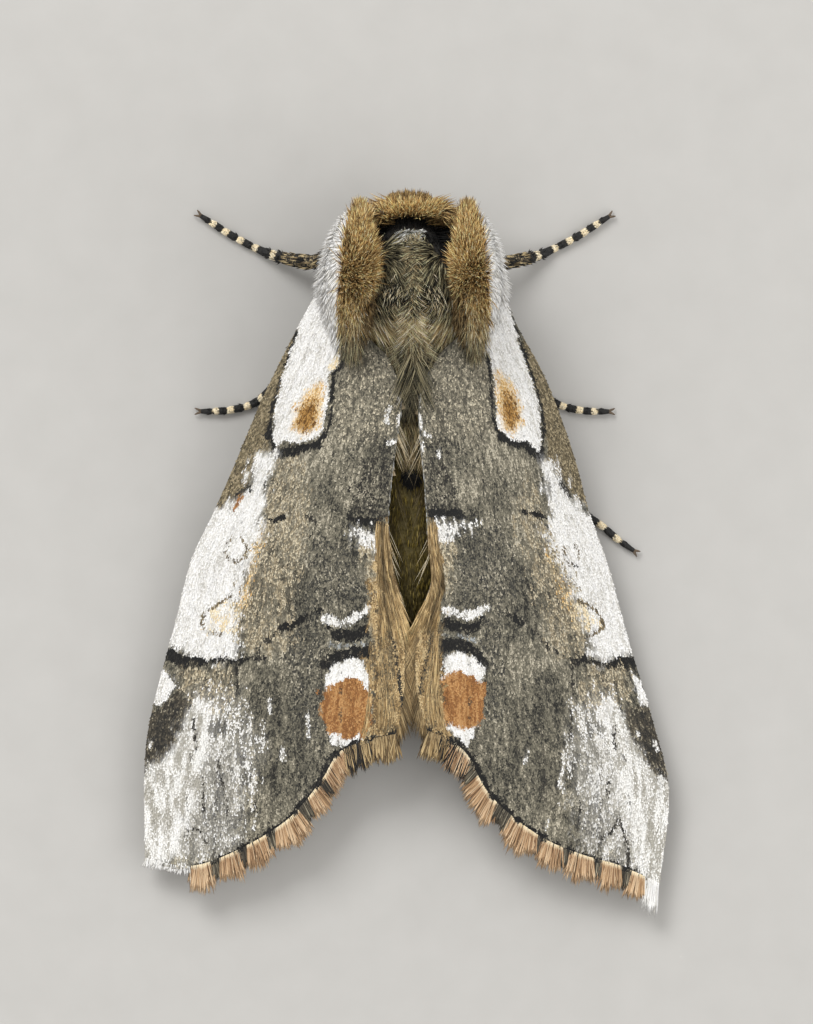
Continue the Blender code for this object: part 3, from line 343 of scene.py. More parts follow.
    ("line", "dark", 0.045, 0.85, [(0.9, 0.8), (0.8, 1.76), (0.67, 2.4), (0.45, 3.36), (0.29, 4.64), (0.16, 5.28)]),
    # White clusters by the inner edge
    ("line", "white", 0.06, 0.8, [(0.38, -5.3), (0.36, -5.0)]),
    ("line", "white", 0.05, 0.8, [(0.44, -4.75), (0.4, -4.6)]),
    ("line", "white", 0.05, 0.8, [(0.68, -4.45), (0.74, -4.38)]),
    ("line", "white", 0.05, 0.8, [(0.8, -4.18), (0.78, -3.98)]),
    ("line", "white", 0.05, 0.8, [(0.4, -4.2), (0.42, -3.7)]),
    ("line", "white", 0.09, 0.8, [(0.5, -3.42), (0.68, -3.36)]),
]
RIGHT_MARKS = [
    # Clouds of pale and dark scales
    ("area", "pebble", 0.5, 0.55, [(0.29, -6.24), (2.27, -6.24), (2.59, -5.28), (2.66, -3.68), (0.48, -3.36)]),
    ("area", "tan_mix", 0.5, 0.5, [(3.68, -2.4), (4.19, -1.44), (3.97, -0.7), (4.58, 0.48), (5.15, 2.14), (5.73, 3.52),
        (4.67, 3.52), (4.38, 2.46), (4.06, 1.47), (3.62, 0.29), (3.39, -1.12)]),
    ("area", "dusk", 0.6, 0.45, [(1.5, -0.42), (2.69, -0.7), (3.55, 1.06), (2.91, 1.92), (2.91, 4.64), (2.53, 6.08),
        (2.37, 3.04), (2.4, 1.86), (1.5, 1.76)]),
    ("area", "dark", 0.3, 0.36, [(0.35, -3.36), (0.86, -3.49), (1.18, -2.4), (1.63, -1.12), (0.61, -1.06),
        (0.48, -2.4)]),
    # Turned-down front strip, and the base patch with its amber spot
    ("area", "strip", 0.1, 0.95, [(3.71, -6.88), (4.19, -5.76), (4.83, -4.32), (5.31, -3.04), (5.86, -1.76),
        (6.11, -1.18), (5.47, -1.44), (4.9, -2.08), (4.35, -2.78), (4.38, -3.36), (4.13, -4.64), (3.49, -6.4)]),
    ("line", "black", 0.055, 0.92, [(3.3, -7.04), (3.68, -6.08), (4.13, -4.8), (4.29, -3.84), (4.22, -2.98),
        (3.87, -3.17), (3.62, -3.36), (3.14, -3.49), (2.72, -3.74), (2.56, -4.32), (2.53, -5.12), (2.46, -5.86),
        (2.27, -6.4), (2.24, -6.88)]),
    ("line", "black", 0.12, 0.95, [(2.85, -3.55), (3.3, -3.33), (3.74, -3.23), (4.19, -2.85)]),
    ("area", "white", 0.04, 1, [(3.04, -8.48), (3.14, -7.68), (3.3, -7.2), (3.39, -6.72), (3.62, -5.92), (3.87, -5.34),
        (4.03, -4.8), (4.16, -4.32), (4.19, -3.36), (4.1, -3.04), (3.87, -3.26), (3.71, -3.46), (3.39, -3.39),
        (3.01, -3.58), (2.75, -3.84), (2.69, -4.35), (2.62, -5.22), (2.53, -5.92), (2.4, -6.37), (2.37, -6.82),
        (2.27, -8.48)]),
    ("area", "amber", 0.4, 0.95, [(2.72, -5.6), (2.98, -5.41), (3.3, -4.9), (3.46, -4.48), (3.49, -4), (3.26, -3.68),
        (2.98, -3.87), (2.82, -4.38), (2.75, -5.02)]),
    ("area", "rust", 0.4, 0.95, [(3.01, -4.96), (3.23, -4.7), (3.36, -4.26), (3.23, -3.87), (3.04, -4), (2.94, -4.48)]),
    ("line", "dark", 0.05, 1, [(2.69, -7.33), (2.75, -7.17)]),
    # White front area with its ring and kidney marks
    ("area", "white", 0.45, 0.96, [(4.22, -2.78), (4.51, -2.72), (4.96, -2.08), (5.15, -1.57), (5.76, -1.12),
        (6.75, -0.8), (7.71, 3.36), (7.26, 3.52), (6.53, 3.68), (6.24, 3.81), (5.86, 3.3), (5.76, 2.85), (5.28, 1.86),
        (5.09, 1.15), (4.48, 0.32), (4.29, -0.42), (4.45, -0.86), (4.58, -1.31), (4.35, -1.89)]),
    ("line", "dark", 0.08, 0.8, [(4.9, -2.02), (5.15, -1.7)]),
    ("area", "tan_mix", 0.45, 0.6, [(4.19, -0.96), (4.7, 0), (5.28, 1.12), (5.6, 1.92), (5.73, 3.04), (5.22, 2.78),
        (4.83, 1.76), (4.26, 0.48)]),
    ("area", "amber", 0.25, 0.2, [(4.35, 0.16), (5.15, 1.28), (5.47, 2.08), (5.22, 2.34), (4.7, 1.44)]),
    ("area", "cream", 0.2, 0.35, [(5.15, 1.76), (5.57, 1.82), (6.05, 2.21), (6.11, 2.53), (5.6, 2.72), (5.25, 2.4)]),
    ("line", "umber", 0.035, 0.65, [(4.96, -0.06), (4.99, 0.35), (5.18, 0.58), (5.41, 0.42), (5.44, 0.1),
        (5.31, -0.1)]),
    ("line", "dark", 0.06, 1, [(5.28, 0.58), (5.38, 0.61)]),
    ("line", "umber", 0.045, 0.9, [(5.41, 1.73), (5.73, 1.82), (5.95, 1.98), (6.18, 2.24), (6.3, 2.53), (6.08, 2.72),
        (5.76, 2.85)]),
    # First line, and the white and tan behind it
    ("line", "black", 0.08, 0.9, [(3.62, -1.15), (4.03, -1.06), (4.42, -0.93)]),
    ("line", "black", 0.13, 0.95, [(0.58, -1.06), (0.8, -1.18), (1.06, -1.06), (1.31, -1.15), (1.57, -1.06)]),
    ("area", "white", 0.3, 0.8, [(0.6, -0.74), (1.5, -0.84), (2.14, -0.8), (1.98, -0.6), (1.54, -0.54), (1.28, -0.1),
        (0.8, -0.16), (0.61, -0.51)]),
    ("area", "tan_mix", 0.35, 0.7, [(0.64, -0.26), (1.38, -0.1), (1.22, 1.44), (0.93, 1.82), (0.74, 0.96)]),
    # Second line
    ("line", "black", 0.2, 1, [(7.39, 3.65), (6.91, 3.74), (6.5, 3.81)]),
    ("line", "black", 0.08, 0.85, [(6.5, 3.81), (6.11, 3.71), (5.66, 3.58), (5.28, 3.68)]),
    ("line", "dark", 0.06, 0.5, [(5.28, 3.65), (4.45, 3.2), (3.87, 2.56)]),
    ("line", "black", 0.09, 0.85, [(3.1, 2.14), (3.36, 2.24), (3.58, 2.4)]),
    # Black bands and white line by the inner edge
    ("area", "black", 0.1, 0.9, [(0.99, 2.24), (1.5, 2.34), (1.89, 2.43), (2.34, 2.14), (2.37, 2.46), (1.95, 2.72),
        (1.5, 2.66), (0.99, 2.62)]),
    ("line", "ash", 0.06, 0.4, [(1.02, 2.78), (1.63, 2.82), (2.14, 2.94)]),
    ("line", "black", 0.18, 0.93, [(0.93, 3.2), (1.28, 3.01), (1.7, 3.14), (2.08, 3.33), (2.32, 3.66)]),
    ("line", "white", 0.11, 0.84, [(1.02, 1.98), (1.41, 2.02), (1.82, 2.18), (2.14, 2.08), (2.4, 1.89)]),
    # Orange patch ringed with white
    ("line", "dark", 0.045, 0.5, [(2.43, 3.68), (2.4, 4.64), (2.24, 5.66), (1.95, 6.4)]),
    ("area", "tan", 0.15, 0.85, [(0.93, 3.52), (1.12, 3.52), (1.18, 5.66), (1.47, 6.08), (0.99, 6.3), (0.8, 4.96)]),
    ("area", "black", 0.15, 0.85, [(1.02, 6.02), (1.44, 6.08), (1.82, 6.37), (1.89, 6.75), (1.47, 6.75), (1.15, 6.43)]),
    ("area", "white", 0.09, 1, [(0.96, 3.84), (1.09, 3.46), (1.6, 3.33), (2.08, 3.49), (2.34, 3.84), (2.34, 4.64),
        (2.11, 5.86), (1.86, 6.37), (1.6, 6.08), (1.12, 5.73), (0.96, 4.96)]),
    ("area", "orange", 0.13, 1, [(0.86, 4.26), (1.25, 4), (1.57, 3.94), (2.02, 4.03), (2.44, 4.32), (2.36, 5.02),
        (2.16, 5.73), (1.7, 5.76), (1.18, 5.67), (0.86, 5.12)]),
    # Dark front wedge and the flecks round it
    ("area", "white", 0.08, 0.95, [(7.2, 4.06), (7.42, 4.13), (7.71, 4.77), (7.78, 5.18), (7.39, 4.86)]),
    ("area", "tan_mix", 0.3, 0.5, [(7.2, 3.94), (5.66, 3.81), (5.31, 4.96), (6.5, 5.34), (7.2, 4.8)]),
    ("area", "bark", 0.08, 1, [(7.04, 5.15), (7.87, 5.15), (8.16, 5.82), (8.51, 6.82), (8.74, 7.84), (8.38, 7.78),
        (7.84, 7.39), (7.33, 6.62), (7.04, 5.82)]),
    ("area", "dark", 0.2, 0.5, [(7.2, 5.34), (7.78, 5.41), (8.1, 6.4), (8.29, 7.36), (7.87, 7.04), (7.39, 6.3)]),
    ("line", "white", 0.06, 0.8, [(8, 6.3), (8.06, 6.5)]),
    ("line", "white", 0.06, 0.8, [(8.19, 7.39), (8.29, 7.62)]),
    # White tip, whose outer part is greyed with painted shade where the tip slopes away from the light
    ("area", "white", 1.0, 0.42, [(6.43, 4.64), (5.31, 4.96), (5.15, 6.24), (5.41, 8.16), (6.05, 9.76), (7.39, 10.88),
        (7.39, 6.88)]),
    ("area", "white", 0.5, 0.9, [(6.5, 4.96), (7.04, 5.82), (7.55, 7.07), (8.32, 7.84), (8.99, 7.84), (8.99, 11.84),
        (7.87, 11.46), (7.39, 10.56), (6.82, 9.6), (6.11, 8.54), (5.86, 7.2), (6.05, 6.18)]),
    ("area", "ash_haze", 0.8, 0.5, [(5.2, 6.2), (6.6, 6.2), (7.2, 8.6), (7.6, 11), (5.5, 9.9)]),
    ("area", "shaded_white", 0.6, 1, [(6.75, 5.4), (7.1, 6.0), (7.55, 7.07), (8.2, 7.75), (8.9, 7.8), (8.9, 11.5), (7.9, 11.3),
        (7.55, 9.9), (7.1, 8.7), (6.7, 7.5), (6.4, 6.2)]),
    ("line", "dark", 0.045, 0.85, [(6.3, 9.31), (6.62, 9.09), (6.82, 8.67), (7.07, 9.5), (7.17, 10.34), (7.52, 10.78)]),
    # Streaks along the veins
    ("line", "dark", 0.035, 0.8, [(5.25, 3.68), (5.25, 4.7)]),
    ("line", "dark", 0.03, 0.7, [(5.22, 5.22), (5.18, 6.24)]),
    ("line", "dark", 0.04, 0.7, [(6.62, 5.76), (6.66, 6.4)]),
    ("line", "dark", 0.04, 0.6, [(6.43, 7.39), (6.46, 8.03)]),
    ("line", "dark", 0.03, 0.6, [(5.57, 8.16), (5.47, 9.06)]),
    ("line", "dark", 0.03, 0.5, [(4.77, 7.46), (4.74, 7.94)]),
    ("line", "white", 0.05, 0.7, [(4.93, 7.14), (4.86, 7.65)]),
    ("line", "white", 0.05, 0.6, [(3.81, 6.5), (3.71, 6.88)]),
    ("line", "white", 0.04, 0.6, [(4.54, 8.74), (4.45, 8.99)]),
    # Tan inner strip with its fold; the dark line along the fold is painted shade
    ("area", "tan", 0.28, 0.93, [(0.58, -0.64), (0.86, 0.48), (0.93, 1.76), (0.9, 3.04), (1.02, 3.52), (0.93, 4.96),
        (1.25, 6.3), (2.02, 7.14), (-0.29, 6.88), (-0.29, 2.72), (0.35, 1.89), (0.67, 1.28)]),
    ("line", "umber", 0.22, 0.7, [(0.8, 1.76), (0.74, 3.68), (0.67, 5.6)]),
    ("line", "dark", 0.045, 0.85, [(0.8, 0.96), (0.77, 1.76), (0.67, 3.04), (0.48, 3.81), (0.32, 4.64)]),
    # White clusters by the inner edge
    ("line", "white", 0.06, 0.8, [(0.22, -4.85), (0.2, -4.5)]),
    ("line", "white", 0.05, 0.8, [(0.2, -4.2), (0.24, -3.8)]),
    ("line", "white", 0.09, 0.8, [(0.36, -3.62), (0.5, -3.56)]),
    ("line", "white", 0.05, 0.8, [(0.3, -3.3), (0.3, -3.1)]),
    ("line", "white", 0.05, 0.7, [(0.84, -3.05), (0.86, -2.95)]),
]
MARKINGS = {"left": LEFT_MARKS, "right": RIGHT_MARKS}

# How far the clumps of a colour are drawn out along the wing, how streaked it is, and the colours with soft edges
CLUMP_STRETCH = {"pebble": 1.0, "shaded_white": 6.0, "dark": 1.3, "dusk": 1.3, "white": 5.0, "ash_haze": 6.0, "tan": 8.0,
                 "orange": 6.0}
STREAKED = {"white": 0.45, "shaded_white": 0.6, "pebble": 0.6, "tan": 0.6, "orange": 0.55, "ash_haze": 0.5}
SOFT_PALETTES = ("amber", "rust")
# Half width of the dark line along the outer edge, and how strongly the veins are darkened
EDGE_LINE = 0.15
VEIN_SHADE = 0.8


def unit(vectors):
    vectors = np.asarray(vectors, float)
    return vectors / np.maximum(np.linalg.norm(vectors, axis=-1, keepdims=True), 1e-12)


def ease(share):
    share = np.clip(share, 0, 1)
    return share * share * (3 - 2 * share)


def hump(away, reach):
    """1 in the middle and falling smoothly to 0 past the reach."""
    return np.exp(-(away / reach) ** 2)


def linear(colour):
    """Screen colours from 0 to 255 as the linear ones that a material needs."""
    share = np.clip(np.asarray(colour, float) / 255, 0, 1)
    return np.where(share <= 0.04045, share / 12.92, ((share + 0.055) / 1.055) ** 2.4)


def even_curve(points, count):
    """Rows at even distances along a smooth curve through the first three columns; the others follow it."""
    given = np.array(points, float)
    ends = np.vstack([2 * given[0] - given[1], given, 2 * given[-1] - given[-2]])
    fine = []
    for k in range(len(given) - 1):
        a, b, c, d = ends[k:k + 4]
        for t in np.linspace(0, 1, 16, endpoint=False):
            fine.append(0.5 * (2 * b + (c - a) * t + (2 * a - 5 * b + 4 * c - d) * t ** 2
                               + (3 * b - a - 3 * c + d) * t ** 3))
    fine.append(given[-1])
    fine = np.array(fine)
    run = np.concatenate([[0], np.cumsum(np.linalg.norm(np.diff(fine[:, :3], axis=0), axis=1))])
    wanted = np.linspace(0, run[-1], count)
    return np.stack([np.interp(wanted, run, fine[:, k]) for k in range(given.shape[1])], axis=1)


def between(table, share):
    """Rows of a table at shares of its length."""
    spot = np.clip(share, 0, 1) * (len(table) - 1)
    low = np.minimum(spot.astype(int), len(table) - 2)
    return table[low] + (spot - low)[..., None] * (table[low + 1] - table[low])


def mirrored(rows, side):
    return [(row[0] * side, *row[1:]) for row in rows]


def mottle(x, y, size, seed):
    """Smooth random values from 0 to 1 that change over the given size."""
    table = np.random.default_rng(seed).random((256, 256))
    across, along = x / size, y / size
    column, row = np.floor(across).astype(int), np.floor(along).astype(int)
    a, b = ease(across - column), ease(along - row)
    corners = [[table[(column + i) % 256, (row + j) % 256] for j in (0, 1)] for i in (0, 1)]
    return ((corners[0][0] * (1 - a) + corners[1][0] * a) * (1 - b)
            + (corners[0][1] * (1 - a) + corners[1][1] * a) * b)


def grid_faces(rows, columns, closed=False):
    """Four-sided faces of a grid of points; closed joins the last column to the first."""
    across = columns if closed else columns - 1
    i, j = np.meshgrid(np.arange(rows - 1), np.arange(across), indexing="ij")
    a = (i * columns + j).ravel()
    b = (i * columns + (j + 1) % columns).ravel()
    return np.stack([a, b, b + columns, a + columns], axis=1)


class Loft:
    """A skin swept along a path: share runs along it and turn goes round it, from the top to the path's right."""

    def __init__(self, rows, lean=0.0, upright=UP, grooves=None):
        self.rows = even_curve(rows, 241)
        self.grooves = grooves
        self.rows[:, 3:6] = np.maximum(self.rows[:, 3:6], 0.01)
        self.ahead = unit(np.gradient(self.rows[:, :3], axis=0))
        across = unit(np.cross(self.ahead, upright))
        upward = np.cross(across, self.ahead)
        self.across = math.cos(lean) * across - math.sin(lean) * upward
        self.upward = math.sin(lean) * across + math.cos(lean) * upward

    def at(self, share, turn):
        share, turn = np.broadcast_arrays(np.asarray(share, float), turn)
        rows = between(self.rows, share)
        wide, rise, drop, pinch = (rows[..., k] for k in range(3, 7))
        lift = np.maximum(np.cos(turn), 0)
        girth = self.girth(share)
        height = (rise * lift + drop * np.minimum(np.cos(turn), 0)) * girth
        breadth = wide * (1 - pinch * lift ** 2) * np.sin(turn) * girth
        return (rows[..., :3] + between(self.across, share) * breadth[..., None]
                + between(self.upward, share) * height[..., None])

    def girth(self, share):
        """Drawn in at each groove, given as shares of the length, a depth and a reach."""
        if self.grooves is None:
            return 1.0
        shares, depth, reach = self.grooves
        away = np.min([np.abs(share - groove) for groove in shares], axis=0)
        return 1 - depth * hump(away, reach)

    def outward(self, share, turn):
        step = 0.002
        along = self.at(np.minimum(share + step, 1), turn) - self.at(np.maximum(share - step, 0), turn)
        around = self.at(share, turn + step) - self.at(share, turn - step)
        return unit(np.cross(around, along))

    def lie(self, share):
        return between(self.ahead, np.asarray(share, float))

    def share_at(self, y):
        """The share of the length at which the path reaches y."""
        return np.interp(y, self.rows[:, 1], np.linspace(0, 1, len(self.rows)))

    @staticmethod
    def lattice(rings, sides):
        """Shares of the length and turns of evenly spread points."""
        return np.meshgrid(np.linspace(0, 1, rings), np.arange(sides) * 2 * math.pi / sides, indexing="ij")

    def shell(self, rings, sides):
        points = self.at(*self.lattice(rings, sides)).reshape(-1, 3)
        faces = [tuple(face) for face in grid_faces(rings, sides, closed=True)]
        faces.append(tuple(reversed(range(sides))))
        faces.append(tuple(range(len(points) - sides, len(points))))
        return points, faces


class Sheet:
    """A curved sheet: u runs along it and v across it. Its makers give at(), which places a height above it."""

    def outward(self, u, v):
        step = 0.004
        along = self.at(np.minimum(u + step, 1), v) - self.at(np.maximum(u - step, 0), v)
        across = self.at(u, np.minimum(v + step, 1)) - self.at(u, np.maximum(v - step, 0))
        normal = unit(np.cross(along, across))
        return normal * np.where(normal[..., 2:] < 0, -1.0, 1.0)

    def lie(self, u, v):
        step = 0.004
        return unit(self.at(np.minimum(u + step, 1), v) - self.at(np.maximum(u - step, 0), v))

    def above(self, u, v, height):
        return self.at(u, v) + self.outward(u, v) * np.asarray(height, float)[..., None]


class Forewing(Sheet):
    """The middle of a forewing: u runs from its base to the outer edge, v from the inner edge to the front."""

    def __init__(self, side_name):
        self.side = SIDES[side_name]
        self.edges = {name: even_curve(points, 121) for name, points in OUTLINES[side_name].items()}
        self.edges["base"] = even_curve(WING_BASE_EDGE, 121)

    def at(self, u, v):
        u, v = np.broadcast_arrays(np.asarray(u, float), np.asarray(v, float))
        costa, inner, termen, base = (self.edges[name] for name in ("costa", "inner", "termen", "base"))
        p, q = u[..., None], v[..., None]
        rails = (1 - q) * between(inner, u) + q * between(costa, u)
        ends = (1 - p) * between(base, v) + p * between(termen, v)
        corners = (1 - p) * ((1 - q) * inner[0] + q * costa[0]) + p * ((1 - q) * inner[-1] + q * costa[-1])
        spot = rails + ends - corners
        swell = np.sin(math.pi * np.minimum(v, 1) ** 1.25) * np.sin(math.pi * (0.08 + 0.86 * u)) ** 0.6
        spot[..., 2] += WING_BULGE * swell
        spot[..., 0] *= self.side
        return spot

    def edge_out(self, v):
        """Directions straight out from the outer edge."""
        along = self.at(1.0, np.minimum(v + 0.02, 1)) - self.at(1.0, np.maximum(v - 0.02, 0))
        out = np.cross(along, self.outward(1.0, v))
        return unit(out * np.sign(out[:, 1:2]))


class Hindwing(Sheet):
    """The middle of a hindwing, which lies under the forewing of its side."""

    def __init__(self, side_name):
        self.fore = Forewing(side_name)

    def at(self, u, v):
        u, v = np.broadcast_arrays(np.asarray(u, float), np.asarray(v, float))
        along = HINDWING_U[0] + (HINDWING_U[-1] - HINDWING_U[0]) * u
        inner = np.interp(along, HINDWING_U, HINDWING_INNER_V)
        outer = np.interp(along, HINDWING_U, HINDWING_OUTER_V)
        return self.fore.above(along, inner + (outer - inner) * v, HINDWING_LEVEL)


def vein_relief(u, v, breadth):
    """How far the veins stand above the membrane, in shares of their height."""
    height = np.zeros_like(u)
    for base, outer, first, last in VEINS:
        away = (v - base - (outer - base) * u) * breadth
        run = ease((u - first) / 0.05 + 0.5) * ease((last - u) / 0.05 + 0.5)
        height = np.maximum(height, run * hump(away, VEIN_REACH))
    return height


def blade(rings, depth):
    """A tapered blade of triangular section that points along y. Rings are (share of length, share of width)."""
    points, faces = [], [(0, 1, 2)]
    for share, breadth in rings:
        points += [(-breadth / 2, share, 0), (breadth / 2, share, 0), (0, share, depth * breadth)]
    points.append((0, 1, 0))
    for row in range(0, 3 * len(rings) - 3, 3):
        for k in range(3):
            a, b = row + k, row + (k + 1) % 3
            faces += [(a, b + 3, b), (a, a + 3, b + 3)]
    last = 3 * len(rings) - 3
    faces += [(last + k, last + 3, last + (k + 1) % 3) for k in range(3)]
    return np.array(points, float), np.array(faces)


HAIR = blade([(0, 0.85), (0.55, 0.85)], 0.75)
SHORT_HAIR = blade([(0, 0.8), (0.5, 1.0)], 0.6)
LONG_HAIR = blade([(0, 0.8), (0.35, 1.0), (0.7, 0.8)], 0.7)
FLAT_HAIR = blade([(0, 0.6), (0.7, 1.0)], 0.25)
FRINGE_HAIR = blade([(0, 0.6), (0.2, 0.9), (0.78, 1.0)], 0.25)
SCALE = (np.array([(0, 0, 0), (-0.5, 1, 0), (0.5, 1, 0), (0, 0.6, 0.16)]),
         np.array([(0, 2, 3), (2, 1, 3), (1, 0, 3), (0, 1, 2)]))


class Coat:
    """Hairs or scales of one piece, gathered until they are made into one mesh."""

    def __init__(self):
        self.points, self.faces, self.tints, self.seats, self.count = [], [], [], [], 0

    def plant(self, shape, roots, ahead, upward, length, width, stops, seats, bend=None):
        """One copy of the shape for each root. Stops are (share of the length, colours of the copies)."""
        model, model_faces = shape
        across = unit(np.cross(ahead, upward))
        over = np.cross(across, ahead)
        side, along, lift = model.T
        width, length = (np.broadcast_to(size, len(roots))[:, None, None] for size in (width, length))
        placed = (roots[:, None] + across[:, None] * side[:, None] * width + ahead[:, None] * along[:, None] * length
                  + over[:, None] * lift[:, None] * width)
        if bend is not None:
            placed += bend[:, None] * along[:, None] ** 2
        shares = [share for share, _ in stops]
        colours = np.stack([colour for _, colour in stops])
        tints = np.empty_like(placed)
        for k, y in enumerate(along):
            low = int(np.clip(np.searchsorted(shares, y) - 1, 0, len(shares) - 2))
            mix = np.clip((y - shares[low]) / (shares[low + 1] - shares[low]), 0, 1)
            tints[:, k] = colours[low] * (1 - mix) + colours[low + 1] * mix
        chart = seats[:, None] + PATCH * np.stack([side, along - 0.5], axis=1)
        starts = self.count + len(model) * np.arange(len(roots))
        self.faces.append((model_faces[None] + starts[:, None, None]).reshape(-1, 3))
        self.points.append(placed.reshape(-1, 3))
        self.tints.append(tints.reshape(-1, 3))
        self.seats.append(chart.reshape(-1, 2))
        self.count += len(roots) * len(model)

    def piece(self, name, finish, slot, smooth=True):
        """The gathered shapes as one piece that rides on the moth."""
        points, faces = np.concatenate(self.points), np.concatenate(self.faces)
        mesh = bpy.data.meshes.new(name)
        mesh.vertices.add(len(points))
        mesh.vertices.foreach_set("co", (points * MM).astype(np.float32).ravel())
        mesh.loops.add(faces.size)
        mesh.loops.foreach_set("vertex_index", faces.astype(np.int32).ravel())
        mesh.polygons.add(len(faces))
        mesh.polygons.foreach_set("loop_start", np.arange(0, faces.size, 3, dtype=np.int32))
        mesh.update(calc_edges=True)
        paint(mesh, np.concatenate(self.tints))
        chart = mesh.uv_layers.new(name="OFBake")
        chart.data.foreach_set("uv", np.concatenate(self.seats)[faces.ravel()].astype(np.float32).ravel())
        piece = add_piece(name, mesh, finish)
        if not smooth:
            mesh.shade_flat()
        return piece


def paint(mesh, tints):
    """Store a colour for each point of a mesh."""
    layer = mesh.color_attributes.new("tint", "FLOAT_COLOR", "POINT")
    colours = np.ones((len(mesh.vertices), 4), np.float32)
    colours[:, :3] = tints
    layer.data.foreach_set("color", colours.ravel())


def add_piece(name, mesh, finish, replaced=()):
    """Put a mesh in the scene as a piece that rides on the moth and stands for the given parts."""
    mesh.shade_smooth()
    mesh.materials.clear()
    mesh.materials.append(finish)
    piece = bpy.data.objects.new(name, mesh)
    bpy.context.scene.collection.objects.link(piece)
    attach(piece, "root")
    if replaced:
        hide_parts(*replaced)
    return piece


def skin_piece(name, points, faces, tints, finish, replaced=()):
    """A smooth skin with a colour at each point."""
    mesh = bpy.data.meshes.new(name)
    mesh.from_pydata([tuple(point) for point in np.asarray(points) * MM], [], faces)
    paint(mesh, tints)
    return add_piece(name, mesh, finish, replaced)


def seats_at(across, along):
    """Places on the unwrap of a piece, inside its margin."""
    return CHART_MARGIN + (1 - 2 * CHART_MARGIN) * np.stack(np.broadcast_arrays(across, along), axis=-1)


def seats_on(share, turn):
    """Places on the unwrap of a skin, from the share of its length and the turn round it."""
    return seats_at((turn / (2 * math.pi)) % 1.0, share)


def pick(name, chance):
    """A colour of the palette for each chance from 0 to 1."""
    palette = PALETTES[name]
    steps = np.cumsum([share for share, _ in palette])
    colours = linear([colour for _, colour in palette])
    return colours[np.minimum(np.searchsorted(steps / steps[-1], chance), len(palette) - 1)]


def depth_inside(shape, x, y):
    """Distance from the edge of a closed outline: above 0 inside it, below 0 outside."""
    corners = np.array(shape, float)
    inside = np.zeros(x.shape, bool)
    for (ax, ay), (bx, by) in zip(corners, np.roll(corners, -1, axis=0)):
        crosses = (ay > y) != (by > y)
        with np.errstate(divide="ignore", invalid="ignore"):
            inside ^= crosses & (x < (bx - ax) * (y - ay) / (by - ay) + ax)
    return np.where(inside, 1, -1) * distance_to(np.vstack([corners, corners[:1]]), x, y)


def distance_to(line, x, y):
    """Distance from a run of straight stretches."""
    line = np.array(line, float)
    nearest = np.full(x.shape, 1e9)
    for (ax, ay), (bx, by) in zip(line, line[1:]):
        reach = (bx - ax) ** 2 + (by - ay) ** 2
        share = np.clip(((x - ax) * (bx - ax) + (y - ay) * (by - ay)) / max(reach, 1e-9), 0, 1)
        nearest = np.minimum(nearest, np.hypot(x - ax - share * (bx - ax), y - ay - share * (by - ay)))
    return nearest


def evened(values):
    """The same order of values, spread evenly from 0 to 1."""
    ranks = np.empty(len(values))
    ranks[np.argsort(values)] = np.linspace(0, 1, len(values), endpoint=False)
    return ranks


def wing_tints(side_name, spots, u, v, seed):
    """The colour of each scale on the upper side of a forewing, from where it stands."""
    dice = np.random.default_rng(seed)
    x, y = np.abs(spots[:, 0]), spots[:, 1]
    across, along = v * WING_BREADTH, u * WING_LENGTH
    streak = mottle(across, along / 6, 0.1, 3)
    cloud = mottle(x, y, 0.9, 4)
    fleck = mottle(across, along / 2.5, 0.1, 5)
    pebble = mottle(across, along, 0.13, 7)
    shade = 0.45 * dice.random(len(x)) + 0.28 * fleck + 0.26 * streak + 0.35 * cloud + 0.16 * pebble
    tints = pick("ground", evened(shade))
    ragged = mottle(x, y, 0.2, 6) - 0.5
    loose = 0.07 * (dice.random(len(x)) - 0.5)
    outer_edge = even_curve([row[:2] for row in OUTLINES[side_name]["termen"]], 40)
    outer_edge = outer_edge[outer_edge[:, 0] < WHITE_FRINGE_FROM[side_name] - 0.15]
    marks = MARKINGS[side_name] + [("line", "black", EDGE_LINE, 0.9, outer_edge)]
    for number, (kind, palette, edge, share, shape) in enumerate(marks):
        soft = palette in SOFT_PALETTES
        if kind == "area":
            near = depth_inside(shape, x, y) + (1 - 0.7 * soft) * (ragged * min(edge * 1.6, 0.3)
                                                                  + (streak - 0.5) * min(edge, 0.25)) + loose
            cover = ease(near / edge + 0.5)
        else:
            near = edge - distance_to(shape, x, y) + ragged * min(edge * 1.5, 0.15) + loose
            cover = ease(near / 0.04 + 0.5)
        touched = np.flatnonzero(cover > 0.01)
        if not len(touched):
            continue
        cover = cover[touched]
        clump = mottle(across[touched], along[touched] / CLUMP_STRETCH.get(palette, 2.4), 0.12, 20 + number)
        chance = evened((0.5 + soft) * dice.random(len(touched)) + 0.6 * clump + 0.25 * (1 - streak[touched]))
        taken = chance < share * cover
        even = STREAKED.get(palette, 0.2)
        fresh = pick(palette, evened((1 - even) * dice.random(len(touched)) + even * clump))
        blend = np.where(taken, 1.0, (0.3 + 0.3 * soft + 0.5 * (share > 0.9)) * share * cover)[:, None]
        tints[touched] = tints[touched] * (1 - blend) + fresh * blend
    for number, (base, outer, _, _) in enumerate(VEINS[:-1]):
        away = (v - base - (outer - base) * u) * WING_BREADTH
        dash = ease((mottle(along, number * 3.3, 0.45, 9) - 0.5) / 0.2)
        pale = np.clip(tints.mean(axis=1), 0, 1)
        seen = VEIN_SHADE * hump(away, 0.05) * dash * ease((u - 0.66) / 0.14) * (1 - 0.5 * pale)
        dark = seen > dice.random(len(x))
        tints[dark] = 0.3 * tints[dark] + 0.7 * pick("dark", dice.random(dark.sum()))
    return tints * (0.88 + 0.12 * dice.random(len(x)) + 0.12 * fleck)[:, None]


